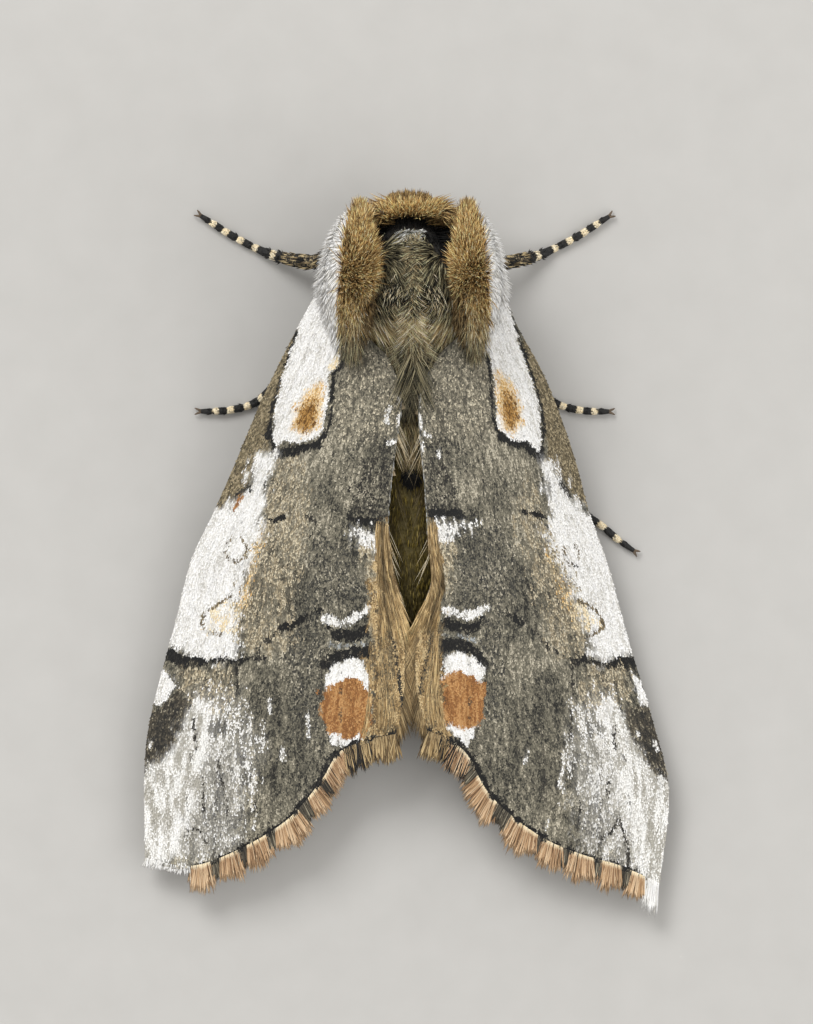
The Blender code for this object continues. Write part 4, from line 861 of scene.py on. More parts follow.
def underside_tints(spots, u, v, seed):
    """The colour of each scale underneath: smoky near the front edge and the outer edge, fawn elsewhere."""
    dice = np.random.default_rng(seed)
    smoky = 0.25 + 0.5 * ease((v - 0.75) / 0.2) + 0.4 * ease((u - 0.72) / 0.1) * ease((0.95 - u) / 0.06)
    chance = dice.random(len(u))
    tints = np.where((dice.random(len(u)) < smoky)[:, None], pick("smoke", chance), pick("fawn", chance))
    return tints * (0.85 + 0.3 * mottle(v * WING_BREADTH, u * WING_LENGTH / 6, 0.2, 8))[:, None]


def shingle(coat, sheet, settings, level, facing, tint, span, seed, breadth_span=(0.0, 1.0), kind=""):
    """Overlapping scales in rows across a sheet, each row a little shifted. tint gives their colours.
    The kind "hind_" takes the sizes of the larger, sparser scales underneath."""
    pitch, length, width = (getattr(settings, kind + size) / MM
                            for size in ("row_pitch", "scale_length", "scale_width"))
    low, high = breadth_span
    dice = np.random.default_rng(seed)
    us, vs = [], []
    for number, u in enumerate(np.arange(0.002, 1.0, pitch / span)):
        across = float(np.linalg.norm(sheet.at(u, 1.0) - sheet.at(u, 0.0)))
        count = max(int(across * (high - low) / (width * 0.8)), 2)
        places = (np.arange(count) + 0.5 * (number % 2)) / count
        us.append(np.full(count, u))
        vs.append(low + (high - low) * places)
    u, v = np.concatenate(us), np.concatenate(vs)
    u = np.clip(u + dice.normal(0, 0.25 * pitch / span, len(u)), 0, 1)
    v = np.clip(v + dice.normal(0, 0.15 * width / WING_BREADTH, len(v)), 0, 1)
    normal = sheet.outward(u, v) * facing
    relief = vein_relief(u, v, WING_BREADTH) * settings.vein_height / MM
    roots = sheet.above(u, v, facing * (level + relief))
    ahead = sheet.lie(u, v)
    sideways = unit(np.cross(ahead, normal))
    fan = dice.normal(0, 0.14, len(u))
    tilt = settings.scale_tilt * (0.7 + 0.6 * dice.random(len(u)))
    ahead = unit(ahead + sideways * fan[:, None] + normal * tilt[:, None])
    colours = tint(roots, u, v, seed + 1)
    lengths = length * (0.85 + 0.3 * dice.random(len(u)))
    widths = width * (0.85 + 0.3 * dice.random(len(u)))
    seats = seats_at(v, u)
    coat.plant(SCALE, roots, ahead, normal, lengths, widths, [(0, colours * 0.8), (1, colours)], seats)


class Wire:
    """An output in a material's node tree. Sums written on it add Math nodes."""

    def __init__(self, tree, socket):
        self.tree, self.socket = tree, socket

    def sum_of(self, operation, first, second):
        node = self.tree.nodes.new("ShaderNodeMath")
        node.operation = operation
        for slot, value in zip(node.inputs, (first, second)):
            feed(self.tree, slot, value)
        return Wire(self.tree, node.outputs[0])

    def __add__(self, other):
        return self.sum_of("ADD", self, other)

    def __sub__(self, other):
        return self.sum_of("SUBTRACT", self, other)

    def __rsub__(self, other):
        return self.sum_of("SUBTRACT", other, self)

    def __mul__(self, other):
        return self.sum_of("MULTIPLY", self, other)

    __radd__ = __add__
    __rmul__ = __mul__


def feed(tree, slot, value):
    """Link a wire to a socket, or set the socket to a plain value."""
    if isinstance(value, Wire):
        tree.links.new(value.socket, slot)
    elif value is not None:
        slot.default_value = value


def add_node(tree, kind, settings, output, inputs):
    """One output of a new node. Inputs are named, with _ for a space, or numbered as s0, s1 and so on."""
    made = tree.nodes.new(kind)
    for name, value in (settings or {}).items():
        setattr(made, name, value)
    for socket, value in inputs.items():
        feed(tree, made.inputs[int(socket[1:]) if socket[1:].isdigit() else socket.replace("_", " ")], value)
    return Wire(tree, made.outputs[output])


class Finish:
    """A new material. Constants are set on its shader; node() adds any node and wear() feeds the shader."""

    def __init__(self, name, **constants):
        self.material = bpy.data.materials.new(name)
        self.material.use_nodes = True
        self.tree = self.material.node_tree
        self.shader = self.tree.nodes["Principled BSDF"]
        for socket, value in constants.items():
            self.shader.inputs[socket.replace("_", " ")].default_value = value

    def node(self, kind, settings=None, output=0, **inputs):
        return add_node(self.tree, "ShaderNode" + kind, settings, output, inputs)

    def wear(self, **wires):
        for socket, wire in wires.items():
            feed(self.tree, self.shader.inputs[socket.replace("_", " ")], wire)
        return self.material

    def place(self):
        return self.node("TexCoord", output="Object")

    def tint(self):
        return self.node("Attribute", {"attribute_name": "tint"}, output="Color")

    def noise(self, size, detail=2.0):
        return self.node("TexNoise", Vector=self.place(), Scale=1 / (size * MM), Detail=detail)

    def scaled(self, colour, factor):
        """A colour made darker or lighter by a varying factor."""
        return self.node("VectorMath", {"operation": "SCALE"}, s0=colour, Scale=factor)

    def blend(self, share, first, second):
        """From the first colour to the second with a varying share."""
        return self.node("Mix", {"data_type": "RGBA"}, output=2, s0=share, s6=(*first, 1), s7=(*second, 1))

    def bump(self, height, distance):
        return self.node("Bump", Height=height, Distance=distance * MM, Strength=0.6)


def scale_finish(name, sheen):
    """Dusty overlapping scales: the colour is each scale's own, with a silky ridge along it."""
    made = Finish(name, Sheen_Weight=sheen, Sheen_Roughness=0.4, Specular_IOR_Level=0.35)
    grain = made.noise(0.05)
    colour = made.scaled(made.tint(), 0.86 + grain * 0.28)
    return made.wear(Base_Color=colour, Roughness=0.5 + grain * 0.25, Normal=made.bump(made.noise(0.02), 0.01))


def hair_finish(name):
    """Hair-like scales with a soft gloss: the colour runs from each hair's root to its tip."""
    made = Finish(name, Sheen_Weight=0.03, Sheen_Roughness=0.5, Specular_IOR_Level=0.25)
    grain = made.noise(0.12)
    colour = made.scaled(made.tint(), 0.82 + grain * 0.36)
    return made.wear(Base_Color=colour, Roughness=0.48 + grain * 0.3)


def skin_finish(name, cell):
    """Skin under a coat: its own markings, broken into small plates the size of scales."""
    made = Finish(name, Sheen_Weight=0.03)
    plates = made.node("TexVoronoi", {"feature": "F1"}, Vector=made.place(), Scale=1 / (cell * MM))
    colour = made.scaled(made.tint(), 1.08 - plates * 0.5 + (made.noise(cell * 3) - 0.5) * 0.3)
    return made.wear(Base_Color=colour, Roughness=0.66 + plates * 0.2, Normal=made.bump(1 - plates, cell * 0.5))


def eye_finish(name):
    """Dark glossy lenses with a dim brown glow that shifts in patches."""
    made = Finish(name, Coat_Weight=0.2, Coat_Roughness=0.08, Specular_IOR_Level=0.3)
    patch = made.noise(0.35, 3.0)
    colour = made.blend(patch, (0.006, 0.004, 0.003), (0.04, 0.022, 0.01))
    return made.wear(Base_Color=colour, Roughness=0.16 + patch * 0.15)


def feeler_finish(name):
    """Brown horn with darker joints and pale dusting."""
    made = Finish(name)
    dusting = made.noise(0.08, 3.0)
    colour = made.blend(dusting, (0.03, 0.02, 0.012), (0.16, 0.11, 0.065))
    return made.wear(Base_Color=colour, Roughness=0.45 + dusting * 0.3, Normal=made.bump(dusting, 0.02))


def floor_finish(name):
    """Pale matt board with a faint grain."""
    made = Finish(name)
    grain = made.noise(1.4, 4.0)
    colour = made.blend(grain, (0.43, 0.42, 0.40), (0.48, 0.47, 0.45))
    return made.wear(Base_Color=colour, Roughness=0.7 + grain * 0.15)


def finish_of(maker, name, *values):
    """A finish that is made once and then shared by the pieces that name it."""
    return bpy.data.materials.get(name) or maker(name, *values)


def comb(coat, shape, skin, share, turn, flow, stand, length, width, colours, seed, root=0.4, tip=1.25, curl=0.2,
         messy=0.12, free=False, vary=0.4, lift=0.0):
    """Hairs on a skin: they follow the flow along it, and stand says how far they rise from it.
    A free flow isn't laid down on the skin first. Lift turns the hairs' broad faces up."""
    dice = np.random.default_rng(seed)
    roots, normal = skin.at(share, turn), skin.outward(share, turn)
    flow = unit(np.broadcast_to(flow, roots.shape))
    if not free:
        flow = unit(flow - normal * np.sum(flow * normal, axis=1, keepdims=True))
    stand = np.broadcast_to(stand, len(roots))[:, None]
    ahead = unit(flow * (1 - stand) + normal * stand + dice.normal(0, messy, roots.shape))
    length = length * (0.75 + 0.45 * dice.random(len(roots)))
    bend = (flow - 0.4 * normal) * (curl * length)[:, None]
    colours = colours * (1 - vary / 2 + vary * dice.random(len(roots)))[:, None]
    stops = [(0, colours * root), (0.5, colours), (1, np.minimum(colours * tip, 0.92))]
    coat.plant(shape, roots - ROOT_DEPTH * normal, ahead, unit(normal + lift * UP), length, width, stops,
               seats_on(share, turn), bend)


def scatter(count, share_span, turn_span, seed):
    """Random places on a skin, and a die for each."""
    dice = np.random.default_rng(seed)
    return dice.uniform(*share_span, count), dice.uniform(*turn_span, count), dice.random(count)


def strew(skin, count, y_span, turn_span, seed):
    """Random places on a skin between two values of y, and a die for each."""
    return scatter(count, skin.share_at(np.array(y_span)), turn_span, seed)


def vectors(x, y, z):
    return np.stack(np.broadcast_arrays(np.asarray(x, float), y, z), axis=-1)


def body_skin():
    skin = Loft(BODY_ROWS)
    grooves = [skin.share_at(y) for y in np.arange(ABDOMEN_START_Y, 4.4, SEGMENT_LENGTH)]
    skin.grooves = (grooves, SEGMENT_DEPTH, 0.004)
    return skin


def build_body(settings):
    """One skin for head, thorax and abdomen, dark between the hairs and nearly black at the head and the hollow in
    front, which is painted shade.
    """
    skin = body_skin()
    points, faces = skin.shell(BODY_RINGS, BODY_SIDES)
    spots = points[:, 1]
    # Head and hollow in front are nearly black brown: painted shade of the deep hollow under the collar and crest
    front = ease((-9.2 - spots) / 0.6)[:, None]
    rear = ease((spots + 6.2) / 0.8)[:, None]
    brown, grey, olive = linear((22, 16, 11)), linear((38, 36, 30)), linear((88, 76, 30))
    tints = (grey * (1 - front) + brown * front) * (1 - rear) + olive * rear
    tints = tints * (0.7 + 0.6 * mottle(points[:, 0] * 2, spots, 0.3, 2))[:, None]
    finish = finish_of(skin_finish, "moth skin", 0.12)
    skin_piece("body_skin", points, faces, tints, finish, ("head", "collar", "thorax", "abdomen"))


def crest_half(y):
    """Half the breadth of the crest, rounded off in front."""
    arch = 1.1 * np.sqrt(np.clip(1 - np.maximum((-8.8 - y) / 0.97, 0) ** 2, 0, 1))
    return arch + 0.2 * ease((y + 9.0) / 0.4) + 2 * ease((y + 8.6) / 0.6)


def crest_colours(x, y, chance):
    """Grey-black with pale tips in front and along the parting, dark spots, and tan behind."""
    colours = pick("crest", chance)
    dice = np.random.default_rng(41)
    front = ease((-9.4 - y) / 0.3) * 0.35 > dice.random(len(x))
    colours[front] = pick("frost", chance[front])
    middle = hump(x, 0.3) * 0.6 > dice.random(len(x))
    colours[middle] = pick("wool", chance[middle])
    band = hump(y + 8.1, 0.3) * (0.3 + 0.7 * hump(np.abs(x) - 0.5, 0.26))
    dark = band > dice.random(len(x))
    colours[dark] = pick("black", chance[dark])
    ticked = hump(y + 8.05, 0.35) * 0.25 > dice.random(len(x))
    colours[ticked] = pick("wool", chance[ticked]) * 1.7
    rear = ease((y + 7.85 - 0.12 * np.abs(x)) / 0.25) * ease((-6.8 - y) / 0.4) * 0.9 > dice.random(len(x))
    colours[rear] = pick("wool", chance[rear]) * 1.6
    return colours


def build_crest(settings):
    """The raised hair of the thorax, combed back to a parting, with long strands behind it."""
    skin = body_skin()
    coat = Coat()
    share, turn, chance = strew(skin, settings.crest_count, (-9.72, -6.2), (-1.35, 1.35), 51)
    spots = skin.at(share, turn)
    kept = np.abs(spots[:, 0] - CREST_PEAK_X * ease((-9.1 - spots[:, 1]) / 0.6)) < crest_half(spots[:, 1])
    share, turn, chance, spots = share[kept], turn[kept], chance[kept], spots[kept]
    x, y = spots[:, 0], spots[:, 1]
    towards = np.clip(x / 0.3, -1, 1)
    front = ease((-8.95 - y) / 0.7)
    behind = ease((y + 7.4) / 0.7)
    sweep = 0.85 + 0.5 * hump(y + 7.7, 0.5)
    flow = (vectors(-sweep * towards, 0.7, 0.2) * (1 - front)[:, None]
            + vectors(-0.1 * towards, -0.5, 0.9) * front[:, None])
    parting = hump(x - 0.08, 0.22)
    stand = 0.2 + 0.32 * parting * (1 - behind) - 0.04 * behind
    parting = parting * (1 - behind)
    length = 0.92 - 0.26 * parting - 0.16 * front + 0.12 * behind
    messy = (0.08 + 0.12 * parting)[:, None]
    comb(coat, HAIR, skin, share, turn, flow, stand, length, HAIR_WIDTH, crest_colours(x, y, chance), 52, root=0.22,
         tip=2.0, curl=0.15, messy=messy, vary=1.1)
    share, turn, chance = strew(skin, settings.frost_count, (-9.74, -9.45), (-0.4, 0.55), 57)
    x = skin.at(share, turn)[:, 0]
    comb(coat, SHORT_HAIR, skin, share, turn, vectors(0.5 * (x - CREST_PEAK_X), -0.35, 0.8), 0.3, 0.42, 0.038,
         pick("frost", chance), 58, root=0.5, tip=1.3)
    share, turn, chance = strew(skin, settings.nape_count, (-7.0, -6.1), (-1.2, 1.2), 55)
    x = skin.at(share, turn)[:, 0]
    comb(coat, HAIR, skin, share, turn, vectors(-0.45 * np.clip(x / 0.5, -1, 1), 0.9, 0.16), 0.1, 1.1, HAIR_WIDTH,
         np.where((chance < 0.3)[:, None], pick("wool", chance), pick("crest", chance) * 1.1), 56, root=0.35, tip=1.3,
         curl=-0.03, free=True)
    for side in SIDES.values():
        share, turn, chance = strew(skin, settings.strand_count, (-6.9, -5.9), (0.1, 0.75), 53)
        comb(coat, LONG_HAIR, skin, share, turn * side, vectors(-0.42 * side, 0.9, 0.12), 0.12, 1.9, HAIR_WIDTH,
             pick("crest", chance) * 0.8, 54, root=0.6, tip=1.3, curl=0.08, messy=0.06, free=True)
        dice = np.random.default_rng(59)
        y, turn = dice.normal(CREST_SPOT_Y, 0.13, settings.spot_count), dice.normal(0.44, 0.12, settings.spot_count)
        chance = dice.random(settings.spot_count)
        comb(coat, HAIR, skin, skin.share_at(y), turn * side, vectors(-0.2 * side, 0.7, 0.4), 0.6, 0.62, HAIR_WIDTH,
             np.where((chance < 0.3)[:, None], pick("cream", chance / 0.3), pick("black", chance)), 60, root=0.7,
             tip=1.1, free=True)
    coat.piece("crest_hair", finish_of(hair_finish, "thorax hair"), "grey_hair")


def build_collar(settings):
    """Brown hair of collar, brow and face."""
    skin = body_skin()
    coat = Coat()
    finish = finish_of(hair_finish, "brown hair")
    share, turn, chance = strew(skin, settings.collar_count, (-10.5, -10.14), (-1.75, 1.75), 61)
    x = skin.at(share, turn)[:, 0]
    length = 0.5 + 0.42 * np.cos(turn / 2)
    # Collar hair has near-black roots under brown tips: the dark roots are painted shade of the hollow behind the
    # collar's rim
    comb(coat, HAIR, skin, share, turn, vectors(0.5 * x, -0.3, 0.9), 0.05, length, HAIR_WIDTH,
         pick("brown", chance) * 1.5, 62, root=0.12, tip=1.5, free=True, messy=0.15, curl=0.0, vary=0.8)
    share, turn, chance = strew(skin, settings.brow_count, (-10.85, -10.3), (-1.2, 1.2), 63)
    x = skin.at(share, turn)[:, 0]
    # Brow hair is darkened to 0.7 as painted shade, as it lies low in front of the face
    comb(coat, HAIR, skin, share, turn, vectors(0.2 * x, -0.8, 0.35), 0.3, 0.34, HAIR_WIDTH,
         pick("brown", chance) * 0.7, 64, root=0.3, free=True, vary=0.8)
    share, turn, chance = scatter(settings.face_count, (0.003, skin.share_at(-10.6)), ALL_ROUND, 65)
    spots = skin.at(share, turn)
    comb(coat, SHORT_HAIR, skin, share, turn, vectors(0.3 * spots[:, 0], -0.5, -0.35), 0.35, 0.34, 0.038,
         pick("wool", chance), 66, root=0.4)
    # Black hair in the hollow between collar and crest: partly dark hair, partly painted shade of the deep hollow
    share, turn, chance = strew(skin, settings.hollow_count, (-10.22, -8.5), (-1.9, 1.9), 67)
    spots = skin.at(share, turn)
    bare = (np.abs(spots[:, 0]) > crest_half(spots[:, 1])) | (spots[:, 1] < -9.66)
    comb(coat, SHORT_HAIR, skin, share[bare], turn[bare], vectors(0, 0.3, 0.6), 0.12, 0.36, 0.05,
         pick("black", chance[bare]), 68, root=0.8, tip=1.0)
    for side in SIDES.values():
        share, turn, chance = strew(skin, settings.lash_count, (-10.75, -10.0), (0.5, 1.45), 69)
        comb(coat, HAIR, skin, share, turn * side, vectors(0.85 * side, -0.25, 0.3), 0.15, 0.72, HAIR_WIDTH,
             pick("brown", chance), 70, root=0.3, tip=1.4, free=True, messy=0.16, vary=0.8)
        # Black hair beside the crest under each shoulder: partly dark hair, partly painted shade of the deep gap
        # between shoulder and body
        share, turn, chance = strew(skin, settings.hollow_side_count, (-10.1, -8.9), (1.0, 2.2), 73)
        comb(coat, HAIR, skin, share, turn * side, vectors(0.9 * side, 0.1, 0.15), 0.2, 0.75, 0.05,
             pick("black", chance), 74, root=0.8, tip=1.0, free=True, messy=0.14)
    coat.piece("head_hair", finish, "brown_hair")


def build_flanks(settings):
    """Woolly hair round the sides and underside of the thorax, and under the head."""
    skin = body_skin()
    coat = Coat()
    share, turn, chance = strew(skin, settings.flank_count, (-10.5, -5.6), (1.1, 2 * math.pi - 1.1), 71)
    spots = skin.at(share, turn)
    keep = (spots[:, 1] > -9.7) | (spots[:, 2] < 2.0)
    share, turn, chance, spots = share[keep], turn[keep], chance[keep], spots[keep]
    flow = vectors(0.35 * np.sign(spots[:, 0]), 0.85, -0.3)
    comb(coat, SHORT_HAIR, skin, share, turn, flow, 0.3, 0.5, 0.045, pick("wool", chance), 72, root=0.4)
    coat.piece("flank_hair", finish_of(hair_finish, "thorax hair"), "grey_hair")


def build_abdomen(settings):
    """Short hair along the abdomen with its tufts: pale and tan in front, a black one, and the tail's."""
    skin = body_skin()
    coat = Coat()
    share, turn, chance = strew(skin, settings.abdomen_count, (-5.7, 4.55), ALL_ROUND, 81)
    spots = skin.at(share, turn)
    colours = pick("olive", chance)
    ring = np.mod(spots[:, 1] - ABDOMEN_START_Y, SEGMENT_LENGTH) / SEGMENT_LENGTH
    colours = colours * (0.8 + 0.5 * ease((ring - 0.75) / 0.2) * ease((1.0 - ring) / 0.05))[:, None]
    below = spots[:, 2] < between(skin.rows, share)[:, 2]
    colours = np.where(below[:, None], pick("wool", chance), colours)
    comb(coat, SHORT_HAIR, skin, share, turn, vectors(0, 1, 0), 0.3, 0.32, 0.045, colours, 82, root=0.7, tip=1.25,
         curl=0.05, messy=0.07)
    share, turn, chance = strew(skin, settings.saddle_count, (-5.2, -3.1), (-0.5, 0.5), 89)
    colours = np.where((chance < 0.4)[:, None], pick("crest", chance * 2.5), pick("wool", chance) * 1.25)
    comb(coat, HAIR, skin, share, turn, vectors(-0.8 * turn, 1, 0.1), 0.12, 0.75, 0.03, colours, 90, root=0.5,
         tip=1.35)
    for middle, reach, count, palette, stand, length in ABDOMEN_TUFTS:
        dice = np.random.default_rng(83)
        y = dice.normal(middle, reach, count)
        share, turn = skin.share_at(y), dice.normal(0, reach * 0.85, count)
        comb(coat, HAIR, skin, share, turn, vectors(0, 1, 0.1), stand, length, 0.045, pick(palette, dice.random(count)),
             84, root=0.6, tip=1.1)
    share, turn, chance = scatter(settings.tail_count, (skin.share_at(4.0), 0.995), ALL_ROUND, 85)
    comb(coat, HAIR, skin, share, turn, vectors(0, 1, 0), 0.1, 0.95, 0.05, pick("wool", chance), 86, root=0.5,
         curl=-0.05)
    for side in SIDES.values():
        share, turn, chance = strew(skin, settings.bristle_count, (-4.9, -1.0), (0.3, 0.8), 87)
        comb(coat, LONG_HAIR, skin, share, turn * side, vectors(-0.3 * side, 0.9, 0.08), 0.12, 1.2, 0.012,
             pick("umber", chance), 88, root=0.8, tip=1.3, free=True, messy=0.1)
    coat.piece("abdomen_hair", finish_of(hair_finish, "abdomen hair"), "belly_hair")


def pad_skin(side):
    return Loft(mirrored(PAD_ROWS, side), lean=PAD_LEAN * side)


def build_shoulder(side_name, settings):
    """One shoulder tuft: a pad, its upright brown brush and the white scales down its outer face."""
    side = SIDES[side_name]
    skin = pad_skin(side)
    points, faces = skin.shell(*PAD_GRID)
    outer = skin.outward(*skin.lattice(*PAD_GRID)).reshape(-1, 3)
    # The pad is white down its outer face and near black elsewhere; the dark inner side is painted shade of the hollow
    # beside the crest
    white = ease((outer[:, 0] * side - 0.15) / 0.2)[:, None]
    tints = linear((200, 194, 186)) * white + linear((30, 21, 11)) * (1 - white)
    skin_piece("shoulder_pad_" + side_name, points, faces, tints, finish_of(skin_finish, "moth skin", 0.12),
               ("tegula_" + side_name,))
    brush = Coat()
    share, turn, chance = scatter(settings.brush_count, (0.01, 0.99), (-1.75, 0.1), 91)
    kept = (turn > -1.75 + 0.9 * ease((share - 0.45) / 0.25)) | (chance < 0.12)
    share, turn, chance = share[kept], turn[kept], chance[kept]
    lean = np.interp(share, [0, 0.12, 0.3, 0.6, 1], [-1.3, -0.9, -0.45, 0.35, 1.2])
    length = np.interp(share, [0, 0.3, 0.75, 1], [0.5, 0.72, 0.76, 0.82])
    inner = ease(-turn / 1.4)
    inward = -0.3 * inner * np.interp(share, [0, 0.18, 0.3, 0.45, 0.6, 1], [0.2, 0.4, 1.1, 1.15, 0.2, 0.0])
    flow = vectors(inward * side, lean, np.interp(share, [0, 0.2, 0.7, 1], [0.2, 0.8, 0.8, 0.12]))
    rear = ease((share - 0.4 - 0.15 * (1 - inner)) / 0.4) > np.random.default_rng(92).random(len(share))
    colours = np.where(rear[:, None], pick("wool", chance), pick("brown", chance))
    end = ease((share - 0.74) / 0.2) * 0.8 > np.random.default_rng(97).random(len(share))
    colours[end] = pick("crest", chance[end])
    spots = skin.at(share, turn * side)
    colours = colours * (0.5 + 1.0 * mottle(spots[:, 0], spots[:, 1], 0.17, 90))[:, None]
    comb(brush, HAIR, skin, share, turn * side, flow, 0.06, length, 0.031, colours, 93, root=0.22, tip=1.95, curl=0.08,
         free=True, messy=0.2, vary=1.2)
    # Brown hair on the brush's inner face, darkened to 0.4 as painted shade of the hollow
    share, turn, chance = scatter(settings.lining_count, (0.02, 0.98), (-math.pi, -1.5), 98)
    comb(brush, SHORT_HAIR, skin, share, turn * side, vectors(-0.3 * side, 0.5, 0.15), 0.3, 0.45, 0.05,
         pick("brown", chance) * 0.4, 99, root=0.5, tip=1.4)
    brush.piece("shoulder_brush_" + side_name, finish_of(hair_finish, "brown hair"), "brown_hair")
    face = Coat()
    share, turn, chance = scatter(settings.white_count, (0.005, 0.93), (0.05, 2.4), 94)
    down = ease((turn - 0.4) / 1.4)
    swell = ease(share / 0.25) * (1 - ease((share - 0.5) / 0.25))
    out = (0.3 + 0.4 * down + 0.3 * swell) * side * ease(share / 0.25) * (1 - 0.75 * ease((share - 0.55) / 0.3))
    flow = vectors(out, np.interp(share, [0, 0.15, 0.4, 1], [-1.0, -0.4, 0.4, 1.0]), -0.05 - 0.5 * down)
    length = np.interp(share, [0, 0.3, 0.6, 1], [0.22, 0.34, 0.42, 0.46]) + 0.16 * down * share + 0.1 * swell
    comb(face, FLAT_HAIR, skin, share, turn * side, flow, 0.08, length, 0.055, pick("white", chance), 95,
         root=0.8, tip=1.03, curl=0.12, messy=0.07, vary=0.12, lift=1.2)
    face.piece("shoulder_scales_" + side_name, finish_of(scale_finish, "wing scales", 0.04), "wing_scales")


def slab_piece(name, sheet, grid, levels, rises, breadth, painter, seed, finish, replaced):
    """A thin closed sheet with veins that rise from the levels of its two faces. painter colours the upper face."""
    rows, columns = grid
    u, v = (part.ravel() for part in np.meshgrid(np.linspace(0, 1, rows), np.linspace(0, 1, columns), indexing="ij"))
    relief = vein_relief(u, v, breadth)
    upper, lower = sheet.above(u, v, levels[0] + rises[0] * relief), sheet.above(u, v, levels[1] - rises[1] * relief)
    tints = np.vstack([painter(upper, u, v, seed), underside_tints(lower, u, v, seed + 1)])
    faces = grid_faces(rows, columns)
    count = rows * columns
    rim = list(range(columns)) + [i * columns + columns - 1 for i in range(1, rows)]
    rim += [count - 1 - j for j in range(1, columns)] + [i * columns for i in range(rows - 2, 0, -1)]
    walls = [(a, b, b + count, a + count) for a, b in zip(rim, rim[1:] + rim[:1])]
    everything = [tuple(f) for f in faces] + [tuple(f[::-1] + count) for f in faces] + walls
    piece = skin_piece(name, np.vstack([upper, lower]), everything, tints, finish, replaced)
    shaped = bmesh.new()
    shaped.from_mesh(piece.data)
    bmesh.ops.recalc_face_normals(shaped, faces=shaped.faces)
    shaped.to_mesh(piece.data)
    shaped.free()


def build_forewing(side_name, settings):
    """The membrane with its veins, and the scales of both faces."""
    sheet = Forewing(side_name)
    height = settings.vein_height / MM
    painted = functools.partial(wing_tints, side_name)
    slab_piece("forewing_skin_" + side_name, sheet, FOREWING_GRID,
               (MEMBRANE_LEVEL, MEMBRANE_LEVEL - MEMBRANE_THICKNESS), (height, 0.5 * height), WING_BREADTH, painted, 11,
               finish_of(skin_finish, "wing skin", 0.08), ("forewing_" + side_name,))
    finish = finish_of(scale_finish, "wing scales", 0.04)
    for part, breadths in (("rear", (0.0, 0.5)), ("front", (0.5, 1.0))):
        coat = Coat()
        shingle(coat, sheet, settings, MEMBRANE_LEVEL, 1.0, painted, WING_LENGTH, 13, breadths)
        coat.piece(f"forewing_scales_{part}_{side_name}", finish, "wing_scales", smooth=False)
    under = Coat()
    shingle(under, sheet, settings, MEMBRANE_THICKNESS - MEMBRANE_LEVEL, -1.0, underside_tints, WING_LENGTH, 15,
            (0.014, 0.995), "hind_")
    under.piece("forewing_underside_" + side_name, finish, "pale_scales", smooth=False)


def fringe_colours(side_name, x, dice):
    """Root, middle and tip colours of each fringe hair from its place along the edge, and its place in its tuft:
    -1 to 1 within an orange tuft, 2 in the dark between."""
    x = x + dice.normal(0, 0.025, len(x))
    chance = dice.random(len(x))
    middle = pick("bark", chance)
    root, tip, place = middle * 0.8, middle * 1.3, np.full(len(x), 2.0)
    for low, high in ORANGE_TUFTS[side_name]:
        held = (x > low + 0.03) & (x < high - 0.03)
        place[held] = (2 * x[held] - low - high) / (high - low)
        middle[held] = pick("salmon", chance[held])
        root[held] = pick("cream", chance[held])
        tip[held] = 0.85 * middle[held] + 0.2 * pick("cream", chance[held])
    tan = x < TAN_FRINGE_TO[side_name]
    middle[tan], root[tan], tip[tan] = (pick("tan", chance[tan]) * k for k in (0.85, 0.6, 1.1))
    dark = hump(x - DARK_STRANDS_AT[side_name], 0.4) * 0.6 > dice.random(len(x))
    for part, brightness in ((root, 1.0), (middle, 1.5), (tip, 3.0)):
        part[dark] = pick("black", chance[dark]) * brightness
    white = x > WHITE_FRINGE_FROM[side_name]
    for part in (root, middle, tip):
        part[white] = pick("white", chance[white])
    place[tan | white] = 0
    return root, middle, np.minimum(tip, 0.9), place


def build_fringe(side_name, settings):
    """The fringe along the outer edge in three layers of scalloped tufts."""
    side, sheet = SIDES[side_name], Forewing(side_name)
    coat = Coat()
    for layer, (lift, length, share) in enumerate(FRINGE_LAYERS):
        dice = np.random.default_rng(101 + layer)
        count = int(settings.fringe_count * share)
        v = dice.random(count)
        roots = sheet.above(FRINGE_ROOT_U, v, MEMBRANE_LEVEL + lift)
        x = np.abs(roots[:, 0])
        worn = x > WORN_FRINGE_FROM[side_name]
        keep = ~worn | (dice.random(count) < 0.4)
        roots, v, x, worn = roots[keep], v[keep], x[keep], worn[keep]
        root, middle, tip, place = fringe_colours(side_name, x, dice)
        between_tufts = place > 1
        fan = np.where(between_tufts, 0, 0.24 * place * side)
        shaggy = ease((TAN_FRINGE_TO[side_name] + 0.5 - x) / 0.5)
        fan = fan - 0.2 * side * shaggy * mottle(x, 0, 0.14, 18)
        swerve = side * 0.1 + fan + dice.normal(0, 0.07 + 0.1 * shaggy, len(v))
        ahead = unit(0.8 * sheet.edge_out(v) + vectors(swerve, 0.5, -0.05))
        scallop = np.where(between_tufts, 0.7, 1.08 - 0.34 * place ** 2)
        strand = (0.82 + 0.3 * mottle(x, 0, 0.09, 6)) * (1 - 0.4 * shaggy * mottle(x, 0, 0.2, 19))
        lengths = length * scallop * strand * (0.62 + 0.45 * dice.random(len(v)) ** 0.7) * np.where(worn, 0.3, 1.0)
        stops = [(0, root), (0.19, middle * 0.8), (0.6, middle), (1, tip)]
        seats = seats_at(v, 0.2 + 0.3 * layer)
        coat.plant(FRINGE_HAIR, roots, ahead, sheet.outward(1.0, v), lengths, 0.042, stops, seats,
                   bend=vectors(dice.normal(0, 0.03, len(v)), 0.0, -0.04))
    coat.piece("fringe_" + side_name, finish_of(scale_finish, "fringe scales", 0.04), "wing_scales")


